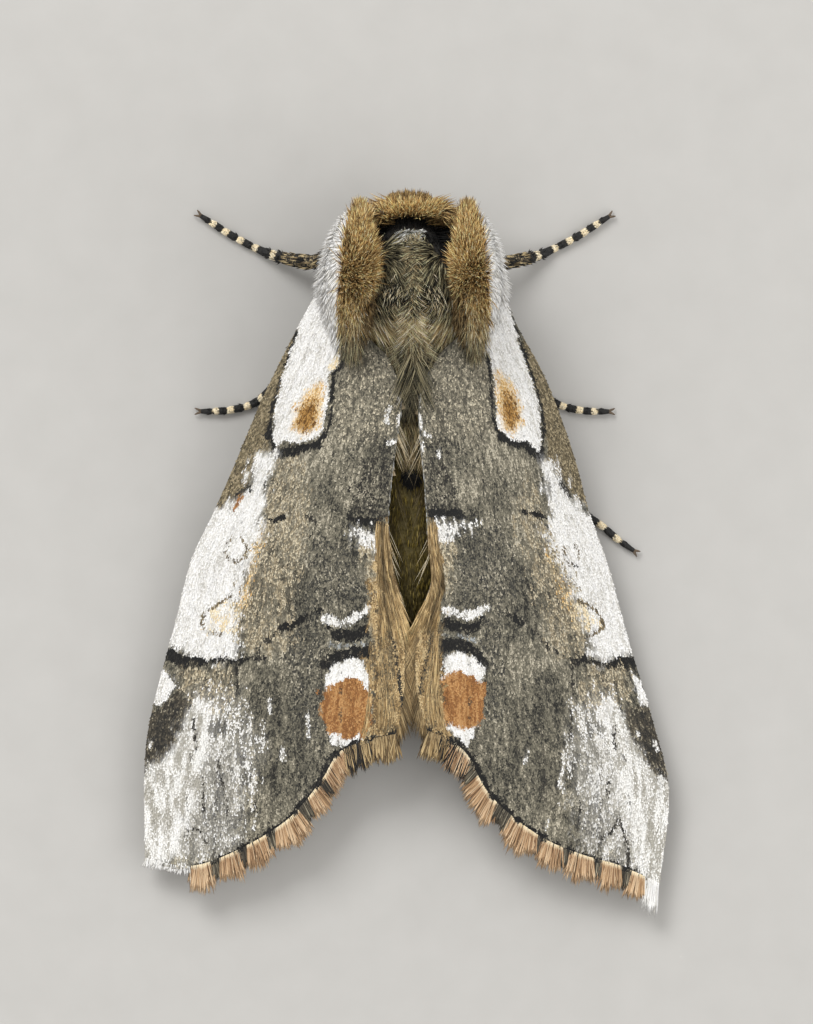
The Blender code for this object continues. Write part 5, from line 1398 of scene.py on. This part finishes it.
def build_inner_hair(side_name, settings):
    """Long tan hair along the inner edge, which meets its fellow over the abdomen."""
    side, sheet = SIDES[side_name], Forewing(side_name)
    coat = Coat()
    dice = np.random.default_rng(111)
    count = settings.inner_count
    u = 0.42 + 0.57 * dice.random(count) ** 0.85
    spread = dice.random(count) ** 1.2
    v = INNER_HAIR_REACH[side_name] * (0.5 + 0.5 * ease((u - 0.5) / 0.25)) * spread
    roots = sheet.above(u, v, MEMBRANE_LEVEL)
    edge = 1 - spread
    # fold is the fold line, along which the hair is darkened by up to 0.6 as painted shade
    fold = hump(np.abs(roots[:, 0]) - np.interp(roots[:, 1], *np.transpose(FOLD_LINE)), 0.07) * ease((0.97 - u) / 0.1)
    closing = ease((edge - 0.6) / 0.3) * ease((u - 0.82) / 0.08)
    inward = -side * (0.02 + 0.42 * edge * hump(u - 0.78, 0.11) + 0.34 * closing)
    inward = inward + side * 0.16 * (u > 0.93) * (1 - closing)
    ahead = unit(sheet.lie(u, v) + vectors(inward + dice.normal(0, 0.06, count), 0, 0.04 + 0.05 * dice.random(count)))
    shade = 0.6 + 1.05 * mottle(v * 90, u * 3, 0.4, 7)
    # closing darkens the hair by up to 0.3: painted shade where the two wings' hair meets over the gap
    colours = pick("tan", dice.random(count)) * (shade * (1 - 0.6 * fold) * (1 - 0.3 * closing))[:, None]
    stops = [(0, colours * 0.5), (0.5, colours), (1, np.minimum(colours * 1.3, 0.9))]
    lengths = (0.7 + 0.45 * edge * ease((u - 0.55) / 0.2)) * (0.75 + 0.4 * dice.random(count)) * (1 - 0.3 * (u > 0.93))
    seats = seats_at(v * 6, u)
    coat.plant(HAIR, roots, ahead, sheet.outward(u, v), lengths, 0.03, stops, seats,
               bend=vectors(0, 0, -0.03 - 0.1 * edge * (u > 0.7)))
    u = np.concatenate([dice.uniform(low, high, count) for low, high, count in GAP_HAIRS[side_name]])
    fine = len(u)
    v = 0.004
    ahead = unit(vectors(-side * dice.uniform(0.3, 0.6, fine), 1.0, -0.15))
    colours = pick("cream", dice.random(fine))
    roots = sheet.above(u, v, MEMBRANE_LEVEL)
    seats = seats_at(0.95, u)
    coat.plant(LONG_HAIR, roots, ahead, sheet.outward(u, v), dice.uniform(0.7, 1.4, fine), 0.011,
               [(0, colours * 0.8), (1, colours)], seats, bend=vectors(0, 0, dice.uniform(-0.3, -0.1, fine)))
    count = settings.rim_count
    u, v = dice.uniform(0.03, 0.46, count), dice.uniform(0.0, 0.006, count)
    ahead = unit(sheet.lie(u, v) + vectors(dice.normal(0, 0.08, count), 0, 0.05))
    colours = pick("frost", dice.random(count)) * 0.8
    seats = seats_at(0.97 + v, u)
    coat.plant(SHORT_HAIR, sheet.above(u, v, MEMBRANE_LEVEL - 0.05), ahead, sheet.outward(u, v),
               dice.uniform(0.16, 0.3, count), 0.045, [(0, colours * 0.7), (1, colours)], seats)
    count = settings.corner_count
    u, v = dice.uniform(0.0, 0.02, count), 0.5 + 0.5 * dice.random(count) ** 0.7
    ahead = unit(vectors(-side * 0.5, -0.5, 0.1 * dice.normal(0, 1, count)) + dice.normal(0, 0.2, (count, 3)))
    colours = np.where((v > 0.9)[:, None], pick("strip", dice.random(count)), pick("white", dice.random(count)))
    seats = seats_at(v, u)
    coat.plant(FLAT_HAIR, sheet.above(u, v, dice.uniform(0.0, MEMBRANE_LEVEL, count)), ahead, sheet.outward(u, v),
               dice.uniform(0.2, 0.42, count), 0.055, [(0, colours * 0.8), (1, colours)], seats,
               bend=vectors(0, 0, dice.uniform(-0.12, 0.02, count)))
    coat.piece("inner_edge_hair_" + side_name, finish_of(hair_finish, "wing hair"), "wing_scales")


def build_hindwing(side_name, settings):
    """The pale hindwing under each forewing, with scales below and a fringe."""
    sheet = Hindwing(side_name)
    slab_piece("hindwing_skin_" + side_name, sheet, HINDWING_GRID, (HINDWING_FACE, -HINDWING_FACE),
               (HINDWING_VEINS, HINDWING_VEINS), HINDWING_BREADTH, underside_tints, 21,
               finish_of(skin_finish, "hindwing skin", 0.1), ("hindwing_" + side_name,))
    coat = Coat()
    shingle(coat, sheet, settings, HINDWING_FACE, -1.0, underside_tints, HINDWING_LENGTH, 23, kind="hind_")
    dice = np.random.default_rng(24)
    count = settings.hind_fringe_count
    v = dice.random(count)
    roots = sheet.at(0.995, v)
    colours = pick("fawn", dice.random(count))
    seats = seats_at(v, 0.99)
    ahead = unit(vectors((v - 0.5) * 0.7 * SIDES[side_name], 1.0, dice.normal(0, 0.06, count)))
    coat.plant(FLAT_HAIR, roots, ahead, sheet.outward(1.0, v), dice.uniform(0.4, 0.6, count), 0.045,
               [(0, colours * 0.7), (1, colours)], seats)
    coat.piece("hindwing_scales_" + side_name, finish_of(scale_finish, "hindwing scales", 0.04), "pale_scales")


class Growth:
    """A Geometry Nodes tree with named inputs that is run once on a mesh."""

    def __init__(self, name):
        self.tree = bpy.data.node_groups.new(name, "GeometryNodeTree")
        self.tree.interface.new_socket("Path", in_out="INPUT", socket_type="NodeSocketGeometry")
        self.tree.interface.new_socket("Shape", in_out="OUTPUT", socket_type="NodeSocketGeometry")
        self.start = self.tree.nodes.new("NodeGroupInput")
        self.values = {}

    def given(self, name, kind, value):
        """A named input and the value that the tree is run with."""
        socket = self.tree.interface.new_socket(name, in_out="INPUT", socket_type="NodeSocket" + kind)
        self.values[socket.identifier] = value
        return Wire(self.tree, self.start.outputs[name])

    def rail(self, count):
        """The path as a curve with evenly spaced points."""
        curve = self.node("GeometryNodeMeshToCurve", Mesh=Wire(self.tree, self.start.outputs["Path"]))
        return self.node("GeometryNodeResampleCurve", Curve=curve, Count=count)

    def node(self, kind, settings=None, output=0, **inputs):
        return add_node(self.tree, kind, settings, output, inputs)

    def along_path(self):
        """The turn that points Z along the path."""
        tangent = self.node("GeometryNodeInputTangent")
        return self.node("FunctionNodeAlignRotationToVector", {"axis": "Z"}, Vector=tangent)

    def girth(self):
        return self.node("GeometryNodeInputNamedAttribute", {"data_type": "FLOAT"}, Name="girth")

    def run(self, base, shape, finish):
        """The mesh that the tree makes from the base mesh."""
        dressed = self.node("GeometryNodeSetMaterial", Material=self.given("Finish", "Material", finish),
                            Geometry=self.node("GeometryNodeRealizeInstances", Geometry=shape))
        end = self.tree.nodes.new("NodeGroupOutput")
        self.tree.links.new(dressed.socket, end.inputs["Shape"])
        holder = bpy.data.objects.new(self.tree.name, base)
        bpy.context.scene.collection.objects.link(holder)
        growth = holder.modifiers.new("Growth", "NODES")
        growth.node_group = self.tree
        for identifier, value in self.values.items():
            growth[identifier] = value
        ready = holder.evaluated_get(bpy.context.evaluated_depsgraph_get())
        mesh = bpy.data.meshes.new_from_object(ready)
        holder.modifiers.remove(growth)
        bpy.data.objects.remove(holder)
        return mesh


def wire_path(name, rows):
    """A line of points as a mesh. Rows are x, y, z and the girth there."""
    mesh = bpy.data.meshes.new(name)
    rows = np.asarray(rows)
    mesh.from_pydata([tuple(row) for row in rows[:, :3] * MM], [(k, k + 1) for k in range(len(rows) - 1)], [])
    mesh.attributes.new("girth", "FLOAT", "POINT").data.foreach_set("value", (rows[:, 3] * MM).astype(np.float32))
    return mesh


def build_eye(side_name, settings):
    """A ball of six-sided lenses, each raised a little."""
    tree = Growth("Eye lenses " + side_name)
    ball = tree.node("GeometryNodeMeshIcoSphere", Radius=tree.given("Radius", "Float", settings.eye_radius),
                     Subdivisions=tree.given("Level", "Int", settings.lens_level))
    lenses = tree.node("GeometryNodeDualMesh", Mesh=ball)
    extruded = tree.tree.nodes.new("GeometryNodeExtrudeMesh")
    tree.tree.links.new(lenses.socket, extruded.inputs["Mesh"])
    rise = tree.given("Lens rise", "Float", settings.lens_rise)
    feed(tree.tree, extruded.inputs["Offset Scale"], rise)
    tops = tree.node("GeometryNodeScaleElements", Geometry=Wire(tree.tree, extruded.outputs["Mesh"]),
                     Selection=Wire(tree.tree, extruded.outputs["Top"]),
                     Scale=tree.given("Lens crown", "Float", 0.62))
    finish = finish_of(eye_finish, "eye lenses")
    mesh = tree.run(bpy.data.meshes.new("eye seat"), tops, finish)
    centre = Vector(EYE_CENTRE) * MM
    centre.x *= SIDES[side_name]
    mesh.transform(Matrix.Translation(centre))
    add_piece("eye_lenses_" + side_name, mesh, finish, ("eye_" + side_name,))


def antenna_rows(side_name):
    """Path of one feeler, from its socket back under the front edge of the wing."""
    wing, side = Forewing(side_name), SIDES[side_name]
    back = wing.above(np.array(ANTENNA_WING_U), ANTENNA_WING_V, ANTENNA_LEVEL)
    spots = np.vstack([mirrored(ANTENNA_START, side), back])
    return even_curve(spots, 121)


def build_antenna(side_name, settings):
    """A feeler of many short flared rings that thin towards the tip."""
    path = antenna_rows(side_name)
    share = np.linspace(0, 1, len(path))
    girth = np.interp(share, [0, 0.02, 0.05, 0.08, 0.6, 1], [0.13, 0.17, 0.15, 0.115, 0.09, 0.045])
    rows = np.column_stack([path, girth * settings.antenna_radius / (0.115 * MM)])
    run = np.linalg.norm(np.diff(path, axis=0), axis=1).sum() * MM
    tree = Growth("Feeler rings " + side_name)
    count = tree.given("Rings", "Int", settings.antenna_rings)
    rail = tree.rail(count)
    ring = tree.node("GeometryNodeMeshCone", Vertices=tree.given("Sides", "Int", 14), Radius_Top=1.0, Radius_Bottom=0.8,
                     Depth=1.0)
    across = tree.girth()
    size = tree.node("ShaderNodeCombineXYZ", X=across, Y=across,
                     Z=tree.given("Ring length", "Float", 1.08 * run / settings.antenna_rings))
    turned = tree.along_path()
    rings = tree.node("GeometryNodeInstanceOnPoints", Points=rail, Instance=ring, Rotation=turned, Scale=size)
    finish = finish_of(feeler_finish, "feeler horn")
    mesh = tree.run(wire_path("feeler path", rows), rings, finish)
    add_piece("feeler_" + side_name, mesh, finish, ("antenna_" + side_name,))
    socket = Loft(np.column_stack([rows[:16], rows[:16, 3], rows[:16, 3], np.zeros(16)]))
    coat = Coat()
    share, turn, chance = scatter(settings.socket_hair_count, (0.02, 0.9), ALL_ROUND, 121)
    comb(coat, HAIR, socket, share, turn, socket.lie(share) + vectors(0, 0, 0.2), 0.25, 0.42, HAIR_WIDTH,
         pick("brown", chance), 122, root=0.35, tip=1.4, messy=0.2, vary=0.8)
    coat.piece("feeler_hair_" + side_name, finish_of(hair_finish, "brown hair"), "brown_hair")


def build_palp(side_name, settings):
    """A palp of three joints that turns up before the face, with its own short coat."""
    skin = Loft(mirrored(PALP_ROWS, SIDES[side_name]), upright=np.array((0.0, -1.0, 0.2)),
                grooves=([0.3, 0.72], 0.25, 0.03))
    points, faces = skin.shell(60, 28)
    skin_piece("palp_skin_" + side_name, points, faces, linear((70, 52, 32)),
               finish_of(skin_finish, "moth skin", 0.12), ("palp_" + side_name,))
    coat = Coat()
    share, turn, chance = scatter(settings.palp_hair_count, (0.02, 0.99), ALL_ROUND, 131)
    pale = chance[:, None] < 0.2
    # Palp hair is darkened to 0.6 as painted shade, as the palps sit low under the head
    colours = np.where(pale, pick("wool", chance), pick("brown", chance) * 0.6)
    comb(coat, SHORT_HAIR, skin, share, turn, skin.lie(share), 0.18, 0.19, 0.04, colours, 132, root=0.5)
    coat.piece("palp_hair_" + side_name, finish_of(hair_finish, "brown hair"), "brown_hair")


def build_tongue(settings):
    """The tongue, coiled flat under the face."""
    turn = np.linspace(0, TONGUE_TURNS * 2 * math.pi, 60)
    away = TONGUE_RADIUS * (1 - 0.78 * turn / turn[-1])
    x, y, z = TONGUE_CENTRE
    rows = [(x, y + a * math.sin(t) + TONGUE_RADIUS, z + a * math.cos(t) - 0.2, w, w, w, 0)
            for t, a, w in zip(turn, away, np.linspace(0.085, 0.03, 60))]
    points, faces = Loft(rows, upright=np.array((1.0, 0.0, 0.0))).shell(260, 16)
    shade = 0.7 + 0.5 * mottle(points[:, 1] * 3, points[:, 2] * 3, 0.2, 9)
    tints = linear((120, 78, 40)) * shade[:, None]
    skin_piece("tongue", points, faces, tints, finish_of(feeler_finish, "feeler horn"))


def leg_skin(leg, side_name):
    path = TUCKED_LEG if (leg, side_name) == ("hind", "left") else LEGS[leg]
    rows = [(*spot, girth, girth, girth, 0) for spot, girth in zip(path, LEG_GIRTH)]
    joints = [band + BAND_WIDTH for band in PALE_BANDS] + LEG_JOINTS
    return Loft(mirrored(rows, SIDES[side_name]), grooves=(joints, 0.3, 0.006))


def hip_skin(leg, side):
    """The first leg joint, from inside the thorax to the thigh."""
    x, y, z = leg.rows[0, :3]
    knee = leg.rows[14, :3]
    rows = [(x - 0.2 * side, y + 0.05, 2.25, 0.42, 0.42, 0.42, 0),
            (x - 0.14 * side, y + 0.02, z + 0.6, 0.46, 0.46, 0.46, 0),
            (x - 0.05 * side, y - 0.04, z + 0.12, 0.36, 0.36, 0.36, 0), (*knee, 0.27, 0.27, 0.27, 0)]
    return Loft(rows, upright=np.array((0.0, -1.0, 0.0)))


def banded(share, dice):
    """Dark leg scales with a pale band at the end of each foot joint."""
    away = np.min([np.abs(share - band) for band in PALE_BANDS], axis=0)
    pale = ease((BAND_WIDTH - away) / 0.006 + 0.5) * 0.95 > dice.random(len(share))
    upper = (share < 0.55) & (dice.random(len(share)) < 0.4)
    chance = dice.random(len(share))
    colours = pick("black", chance) * 1.3
    colours[upper] = pick("wool", chance[upper])
    colours[pale] = pick("cream", chance[pale])
    return colours


def build_leg(leg, side_name, settings):
    """One leg with its scales, spurs, bristles and two claws."""
    name = f"{leg}_{side_name}"
    skin = leg_skin(leg, side_name)
    points, faces = skin.shell(*LEG_GRID)
    tints = banded(skin.lattice(*LEG_GRID)[0].ravel(), np.random.default_rng(141))
    skin_piece(f"leg_skin_{name}", points, faces, tints, finish_of(skin_finish, "leg skin", 0.07),
               (f"leg_{name}",))
    coat = Coat()
    share, turn, chance = scatter(settings.leg_hair_count, (0.01, 0.985), ALL_ROUND, 142)
    kept = skin.at(share, turn)[:, 2] > 0.11
    share, turn = share[kept], turn[kept]
    length = np.interp(share, [0, 0.15, 0.5, 0.6, 1], [0.42, 0.4, 0.3, 0.17, 0.13])
    level = skin.at(share, turn)[:, 2]
    stand = np.where(share < 0.55, 0.16, 0.1) * (level > 0.14)
    comb(coat, SHORT_HAIR, skin, share, turn, skin.lie(share), stand, length, 0.052,
         banded(share, np.random.default_rng(143)), 144, root=0.75, tip=1.1, messy=0.07, curl=0.05)
    coat.piece(f"leg_scales_{name}", finish_of(hair_finish, "leg scales"), "limb")
    hip = hip_skin(skin, SIDES[side_name])
    points, faces = hip.shell(40, 28)
    skin_piece(f"hip_skin_{name}", points, faces, linear((44, 36, 24)),
               finish_of(skin_finish, "leg skin", 0.07))
    wool = Coat()
    share, turn, chance = scatter(settings.hip_hair_count, (0.1, 0.97), ALL_ROUND, 145)
    flow = hip.lie(share) + vectors(0.2 * SIDES[side_name], 0.3, 0)
    comb(wool, SHORT_HAIR, hip, share, turn, flow, 0.22, 0.36, 0.05, pick("wool", chance) * 0.8, 146, root=0.4)
    wool.piece(f"hip_hair_{name}", finish_of(hair_finish, "leg scales"), "limb")
    tree = Growth("Leg spines " + name)
    rail = tree.rail(tree.given("Spines", "Int", settings.spine_count))
    thorn = tree.node("GeometryNodeMeshCone", Vertices=6, Radius_Top=0.0, Radius_Bottom=0.09, Depth=1.0)
    leaning = tree.node("GeometryNodeTransform", Geometry=thorn, Rotation=(math.radians(30), 0, 0))
    turned = tree.along_path()
    spin = tree.node("FunctionNodeRandomValue", {"data_type": "FLOAT"}, output=1, s2=-2.0, s3=2.0,
                     Seed=tree.given("Seed", "Int", 7))
    spun = tree.node("FunctionNodeRotateRotation", {"rotation_space": "LOCAL"}, Rotation=turned,
                     Rotate_By=tree.node("ShaderNodeCombineXYZ", Z=spin))
    length = tree.girth()
    spines = tree.node("GeometryNodeInstanceOnPoints", Points=rail, Instance=leaning, Rotation=spun,
                       Scale=tree.node("ShaderNodeCombineXYZ", X=length, Y=length, Z=length))
    finish = finish_of(feeler_finish, "feeler horn")
    share = np.linspace(0.3, 0.97, 40)
    reach = np.interp(share, [0.3, 0.56, 0.6, 1], [0.3, 0.42, 0.2, 0.14])
    path = skin.at(share, np.zeros(40))
    middle = between(skin.rows, share)[:, :3]
    mesh = tree.run(wire_path("spine path", np.column_stack([(path + middle) / 2, reach])), spines, finish)
    add_piece(f"leg_spines_{name}", mesh, finish)
    heading = skin.lie(np.array(1.0))
    out = np.cross(heading, UP)
    foot = skin.rows[-1, :3]
    shells = []
    for way in (-1, 1):
        rows = [(*(foot + heading * along + out * way * (0.02 + 0.45 * along) + UP * drop), w, w, w, 0)
                for along, drop, w in CLAW_ROWS]
        shells.append(Loft(rows).shell(14, 10))
    points = np.vstack([points for points, _ in shells])
    faces = shells[0][1] + [tuple(k + len(shells[0][0]) for k in face) for face in shells[1][1]]
    skin_piece(f"claws_{name}", points, faces, 0.02, finish)


def build_legs(side_name, settings):
    for leg in LEGS:
        build_leg(leg, side_name, settings)


def build_stage(settings):
    """A pale floor, soft light from two sides, and the camera above the moth's back."""
    half = settings.floor_size / 2
    mesh = bpy.data.meshes.new("studio_floor")
    corners = ((-half, -half), (half, -half), (half, half), (-half, half))
    mesh.from_pydata([(x, y, settings.floor_level) for x, y in corners], [], [(0, 1, 2, 3)])
    mesh.materials.append(finish_of(floor_finish, "studio floor"))
    floor = bpy.data.objects.new("studio_floor", mesh)
    scene = bpy.context.scene
    scene.collection.objects.link(floor)
    for name, spot, size, power in (("key_light", (0.16, -0.26, 0.3), 0.2, settings.key_power),
                                    ("fill_light", (-0.3, 0.12, 0.22), 0.35, settings.fill_power)):
        lamp = bpy.data.lights.new(name, "AREA")
        lamp.energy, lamp.size, lamp.shape = power, size, "SQUARE"
        light = bpy.data.objects.new(name, lamp)
        light.location = spot
        light.rotation_euler = (-Vector(spot)).to_track_quat("-Z", "Y").to_euler()
        scene.collection.objects.link(light)
    sky = bpy.data.worlds.new("studio sky")
    sky.use_nodes = True
    sky.node_tree.nodes["Background"].inputs["Color"].default_value = (1.0, 0.99, 0.975, 1)
    sky.node_tree.nodes["Background"].inputs["Strength"].default_value = settings.sky_strength
    scene.world = sky
    scene.view_settings.view_transform = "Standard"
    tilt = settings.camera_tilt
    back = Vector((math.sin(tilt), 0, math.cos(tilt)))
    right = Vector((-math.cos(tilt), 0, math.sin(tilt)))
    target = Vector(CAMERA_TARGET) * MM
    lens = bpy.data.cameras.new("back_view")
    lens.lens = lens.sensor_width * settings.camera_distance / settings.view_height
    lens.clip_start = 0.001
    camera = bpy.data.objects.new("back_view", lens)
    turned = Matrix((right, Vector((0, -1, 0)), back)).transposed().to_4x4()
    camera.matrix_world = Matrix.Translation(target + back * settings.camera_distance) @ turned
    scene.collection.objects.link(camera)
    scene.camera = camera


def size_of(name, description, default):
    return bpy.props.FloatProperty(name=name, description=description, default=default, unit="LENGTH",
                                   subtype="DISTANCE", precision=6)


def count_of(name, description, default):
    return bpy.props.IntProperty(name=name, description=description, default=default, min=0)


def share_of(name, description, default):
    return bpy.props.FloatProperty(name=name, description=description, default=default, subtype="FACTOR")


class WingSettings(bpy.types.PropertyGroup):
    """Sizes and numbers of the wings' scales and fringes."""
    row_pitch: size_of("Row pitch", "Distance between rows of scales", 0.058 * MM)
    scale_length: size_of("Scale length", "Length of one scale of the upper side", 0.122 * MM)
    scale_width: size_of("Scale width", "Width of one scale of the upper side", 0.051 * MM)
    scale_tilt: share_of("Scale tilt", "How steeply the scales stand up from the membrane", 0.16)
    vein_height: size_of("Vein height", "How far the veins stand above the membrane", 0.035 * MM)
    fringe_count: count_of("Fringe hairs", "Hairs in each forewing's outer fringe", 3200)
    inner_count: count_of("Inner hairs", "Long hairs on each forewing's inner edge", 4000)
    hind_row_pitch: size_of("Hindwing row pitch", "Distance between rows of scales under the hindwing", 0.2 * MM)
    hind_scale_length: size_of("Hindwing scale length", "Length of a scale under the wings", 0.34 * MM)
    hind_scale_width: size_of("Hindwing scale width", "Width of a scale under the wings", 0.15 * MM)
    rim_count: count_of("Rim scales", "Pale scales along each forewing's inner edge", 460)
    corner_count: count_of("Corner hairs", "Hairs that soften each forewing's base corner", 700)
    hind_fringe_count: count_of("Hindwing fringe hairs", "Hairs in each hindwing's fringe", 700)


class CoatSettings(bpy.types.PropertyGroup):
    """Numbers of hairs on head, thorax, shoulders and abdomen."""
    crest_count: count_of("Crest", "Hairs of the thorax crest", 13500)
    frost_count: count_of("Frost", "Pale hairs at the front of the crest", 520)
    nape_count: count_of("Nape", "Hairs behind the crest", 1500)
    spot_count: count_of("Crest spots", "Hairs of each black spot on the crest", 170)
    strand_count: count_of("Strands", "Long hairs behind the crest, each side", 420)
    collar_count: count_of("Collar", "Hairs of the collar", 3600)
    # The hollow's black hair is partly painted shade of the deep hollow
    hollow_count: count_of("Hollow", "Black hairs between collar and crest", 4600)
    lash_count: count_of("Lashes", "Brown hairs that reach over each eye", 420)
    # The black hair beside the crest is partly painted shade of the gap under each shoulder
    hollow_side_count: count_of("Hollow sides", "Black hairs under each shoulder, beside the crest", 520)
    brow_count: count_of("Brow", "Hairs over the brow", 1600)
    face_count: count_of("Face", "Short hairs on the face", 1200)
    flank_count: count_of("Flanks", "Hairs round the thorax's sides and underside", 4600)
    abdomen_count: count_of("Abdomen", "Hairs along the abdomen", 5600)
    saddle_count: count_of("Saddle", "Pale and tan hairs along the front of the abdomen's back", 900)
    bristle_count: count_of("Bristles", "Long fine hairs on each side of the abdomen's back", 36)
    tail_count: count_of("Tail", "Hairs of the tail tuft", 420)
    brush_count: count_of("Shoulder brush", "Upright hairs of each shoulder tuft", 9000)
    lining_count: count_of("Shoulder lining", "Short dark hairs on each shoulder tuft's inner face", 1300)
    white_count: count_of("Shoulder scales", "Pale scales down each shoulder's outer face", 4400)


class LimbSettings(bpy.types.PropertyGroup):
    """Sizes of eyes, feelers, palps and legs."""
    eye_radius: size_of("Eye radius", "Radius of the eye ball", EYE_RADIUS * MM)
    lens_level: count_of("Lens level", "How often the eye ball is divided before its lenses are made", EYE_LENS_LEVEL)
    lens_rise: size_of("Lens rise", "How far each lens stands up", 0.012 * MM)
    antenna_radius: size_of("Feeler radius", "Radius of a feeler near its base", 0.115 * MM)
    antenna_rings: count_of("Feeler rings", "Rings of one feeler", ANTENNA_RINGS)
    socket_hair_count: count_of("Feeler socket hairs", "Hairs on the first joint of each feeler", 420)
    palp_hair_count: count_of("Palp hairs", "Hairs on each palp", 1000)
    leg_hair_count: count_of("Leg scales", "Scales and hairs on each leg", 1550)
    hip_hair_count: count_of("Hip hairs", "Hairs on the first joint of each leg", 420)
    spine_count: count_of("Leg spines", "Spines along each leg", 34)


class StageSettings(bpy.types.PropertyGroup):
    """Floor, lights and camera."""
    floor_size: size_of("Floor size", "Side of the floor", 0.6)
    floor_level: size_of("Floor level", "Height of the floor", -0.02 * MM)
    key_power: bpy.props.FloatProperty(name="Key power", description="Power of the main light", default=1.15,
                                       unit="POWER")
    fill_power: bpy.props.FloatProperty(name="Fill power", description="Power of the second light", default=0.45,
                                        unit="POWER")
    sky_strength: bpy.props.FloatProperty(name="Sky strength", description="Light from all sides", default=0.84)
    camera_distance: size_of("Camera distance", "Distance from the camera to the moth", 0.3)
    view_height: size_of("View height", "Height of the picture at the moth", 32.768 * MM)
    camera_tilt: bpy.props.FloatProperty(name="Camera tilt", description="Lean of the camera to the moth's left",
                                         default=math.radians(3), subtype="ANGLE")


class MothOperator:
    """Shared by the operators: each makes its pairs of pieces for both sides, and then its single pieces."""
    bl_options = {"REGISTER", "UNDO"}
    pairs = singles = ()

    def execute(self, context):
        settings = getattr(context.scene, self.group)
        for side_name in SIDES:
            for build in self.pairs:
                build(side_name, settings)
        for build in self.singles:
            build(settings)
        return {"FINISHED"}


class BuildBody(MothOperator, bpy.types.Operator):
    """Make the skin of head, thorax and abdomen"""
    bl_idname = "moth.build_body"
    bl_label = "Body skin"
    group = "moth_coat"
    singles = (build_body,)


class BuildCoat(MothOperator, bpy.types.Operator):
    """Grow the hair of crest, collar, flanks and abdomen"""
    bl_idname = "moth.build_coat"
    bl_label = "Body coat"
    group = "moth_coat"
    singles = (build_crest, build_collar, build_flanks, build_abdomen)


class BuildShoulders(MothOperator, bpy.types.Operator):
    """Make both shoulder tufts"""
    bl_idname = "moth.build_shoulders"
    bl_label = "Shoulder tufts"
    group = "moth_coat"
    pairs = (build_shoulder,)


class BuildForewings(MothOperator, bpy.types.Operator):
    """Make both forewings with scales and inner hair"""
    bl_idname = "moth.build_forewings"
    bl_label = "Forewings"
    group = "moth_wings"
    pairs = (build_forewing, build_inner_hair)


class BuildFringes(MothOperator, bpy.types.Operator):
    """Grow the fringe of both forewings"""
    bl_idname = "moth.build_fringes"
    bl_label = "Fringes"
    group = "moth_wings"
    pairs = (build_fringe,)


class BuildHindwings(MothOperator, bpy.types.Operator):
    """Make both hindwings"""
    bl_idname = "moth.build_hindwings"
    bl_label = "Hindwings"
    group = "moth_wings"
    pairs = (build_hindwing,)


class BuildHead(MothOperator, bpy.types.Operator):
    """Make eyes, feelers, palps and tongue"""
    bl_idname = "moth.build_head"
    bl_label = "Eyes, feelers and mouth"
    group = "moth_limbs"
    pairs = (build_eye, build_antenna, build_palp)
    singles = (build_tongue,)


class BuildLegs(MothOperator, bpy.types.Operator):
    """Make the six legs"""
    bl_idname = "moth.build_legs"
    bl_label = "Legs"
    group = "moth_limbs"
    pairs = (build_legs,)


class BuildStage(MothOperator, bpy.types.Operator):
    """Set the floor, the lights and the camera"""
    bl_idname = "moth.build_stage"
    bl_label = "Stage"
    group = "moth_stage"
    singles = (build_stage,)


STEPS = (BuildBody, BuildCoat, BuildShoulders, BuildForewings, BuildFringes, BuildHindwings, BuildHead, BuildLegs,
         BuildStage)


class MothPanel(bpy.types.Panel):
    """Lists the moth's operators"""
    bl_idname = "VIEW3D_PT_moth"
    bl_label = "Resting moth"
    bl_space_type = "VIEW_3D"
    bl_region_type = "UI"
    bl_category = "Moth"

    def draw(self, context):
        for step in STEPS:
            self.layout.operator(step.bl_idname)


SETTINGS = {"moth_wings": WingSettings, "moth_coat": CoatSettings, "moth_limbs": LimbSettings,
            "moth_stage": StageSettings}


def register():
    for group in (*SETTINGS.values(), *STEPS, MothPanel):
        bpy.utils.register_class(group)
    for name, group in SETTINGS.items():
        setattr(bpy.types.Scene, name, bpy.props.PointerProperty(type=group))


def unregister():
    for name in SETTINGS:
        delattr(bpy.types.Scene, name)
    for group in (MothPanel, *reversed(STEPS), *SETTINGS.values()):
        bpy.utils.unregister_class(group)


def main():
    register()
    for step in STEPS:
        group, action = step.bl_idname.split(".")
        if getattr(getattr(bpy.ops, group), action)() != {"FINISHED"}:
            raise RuntimeError(f"{step.bl_label} wasn't made")


if __name__ == "__main__":
    main()
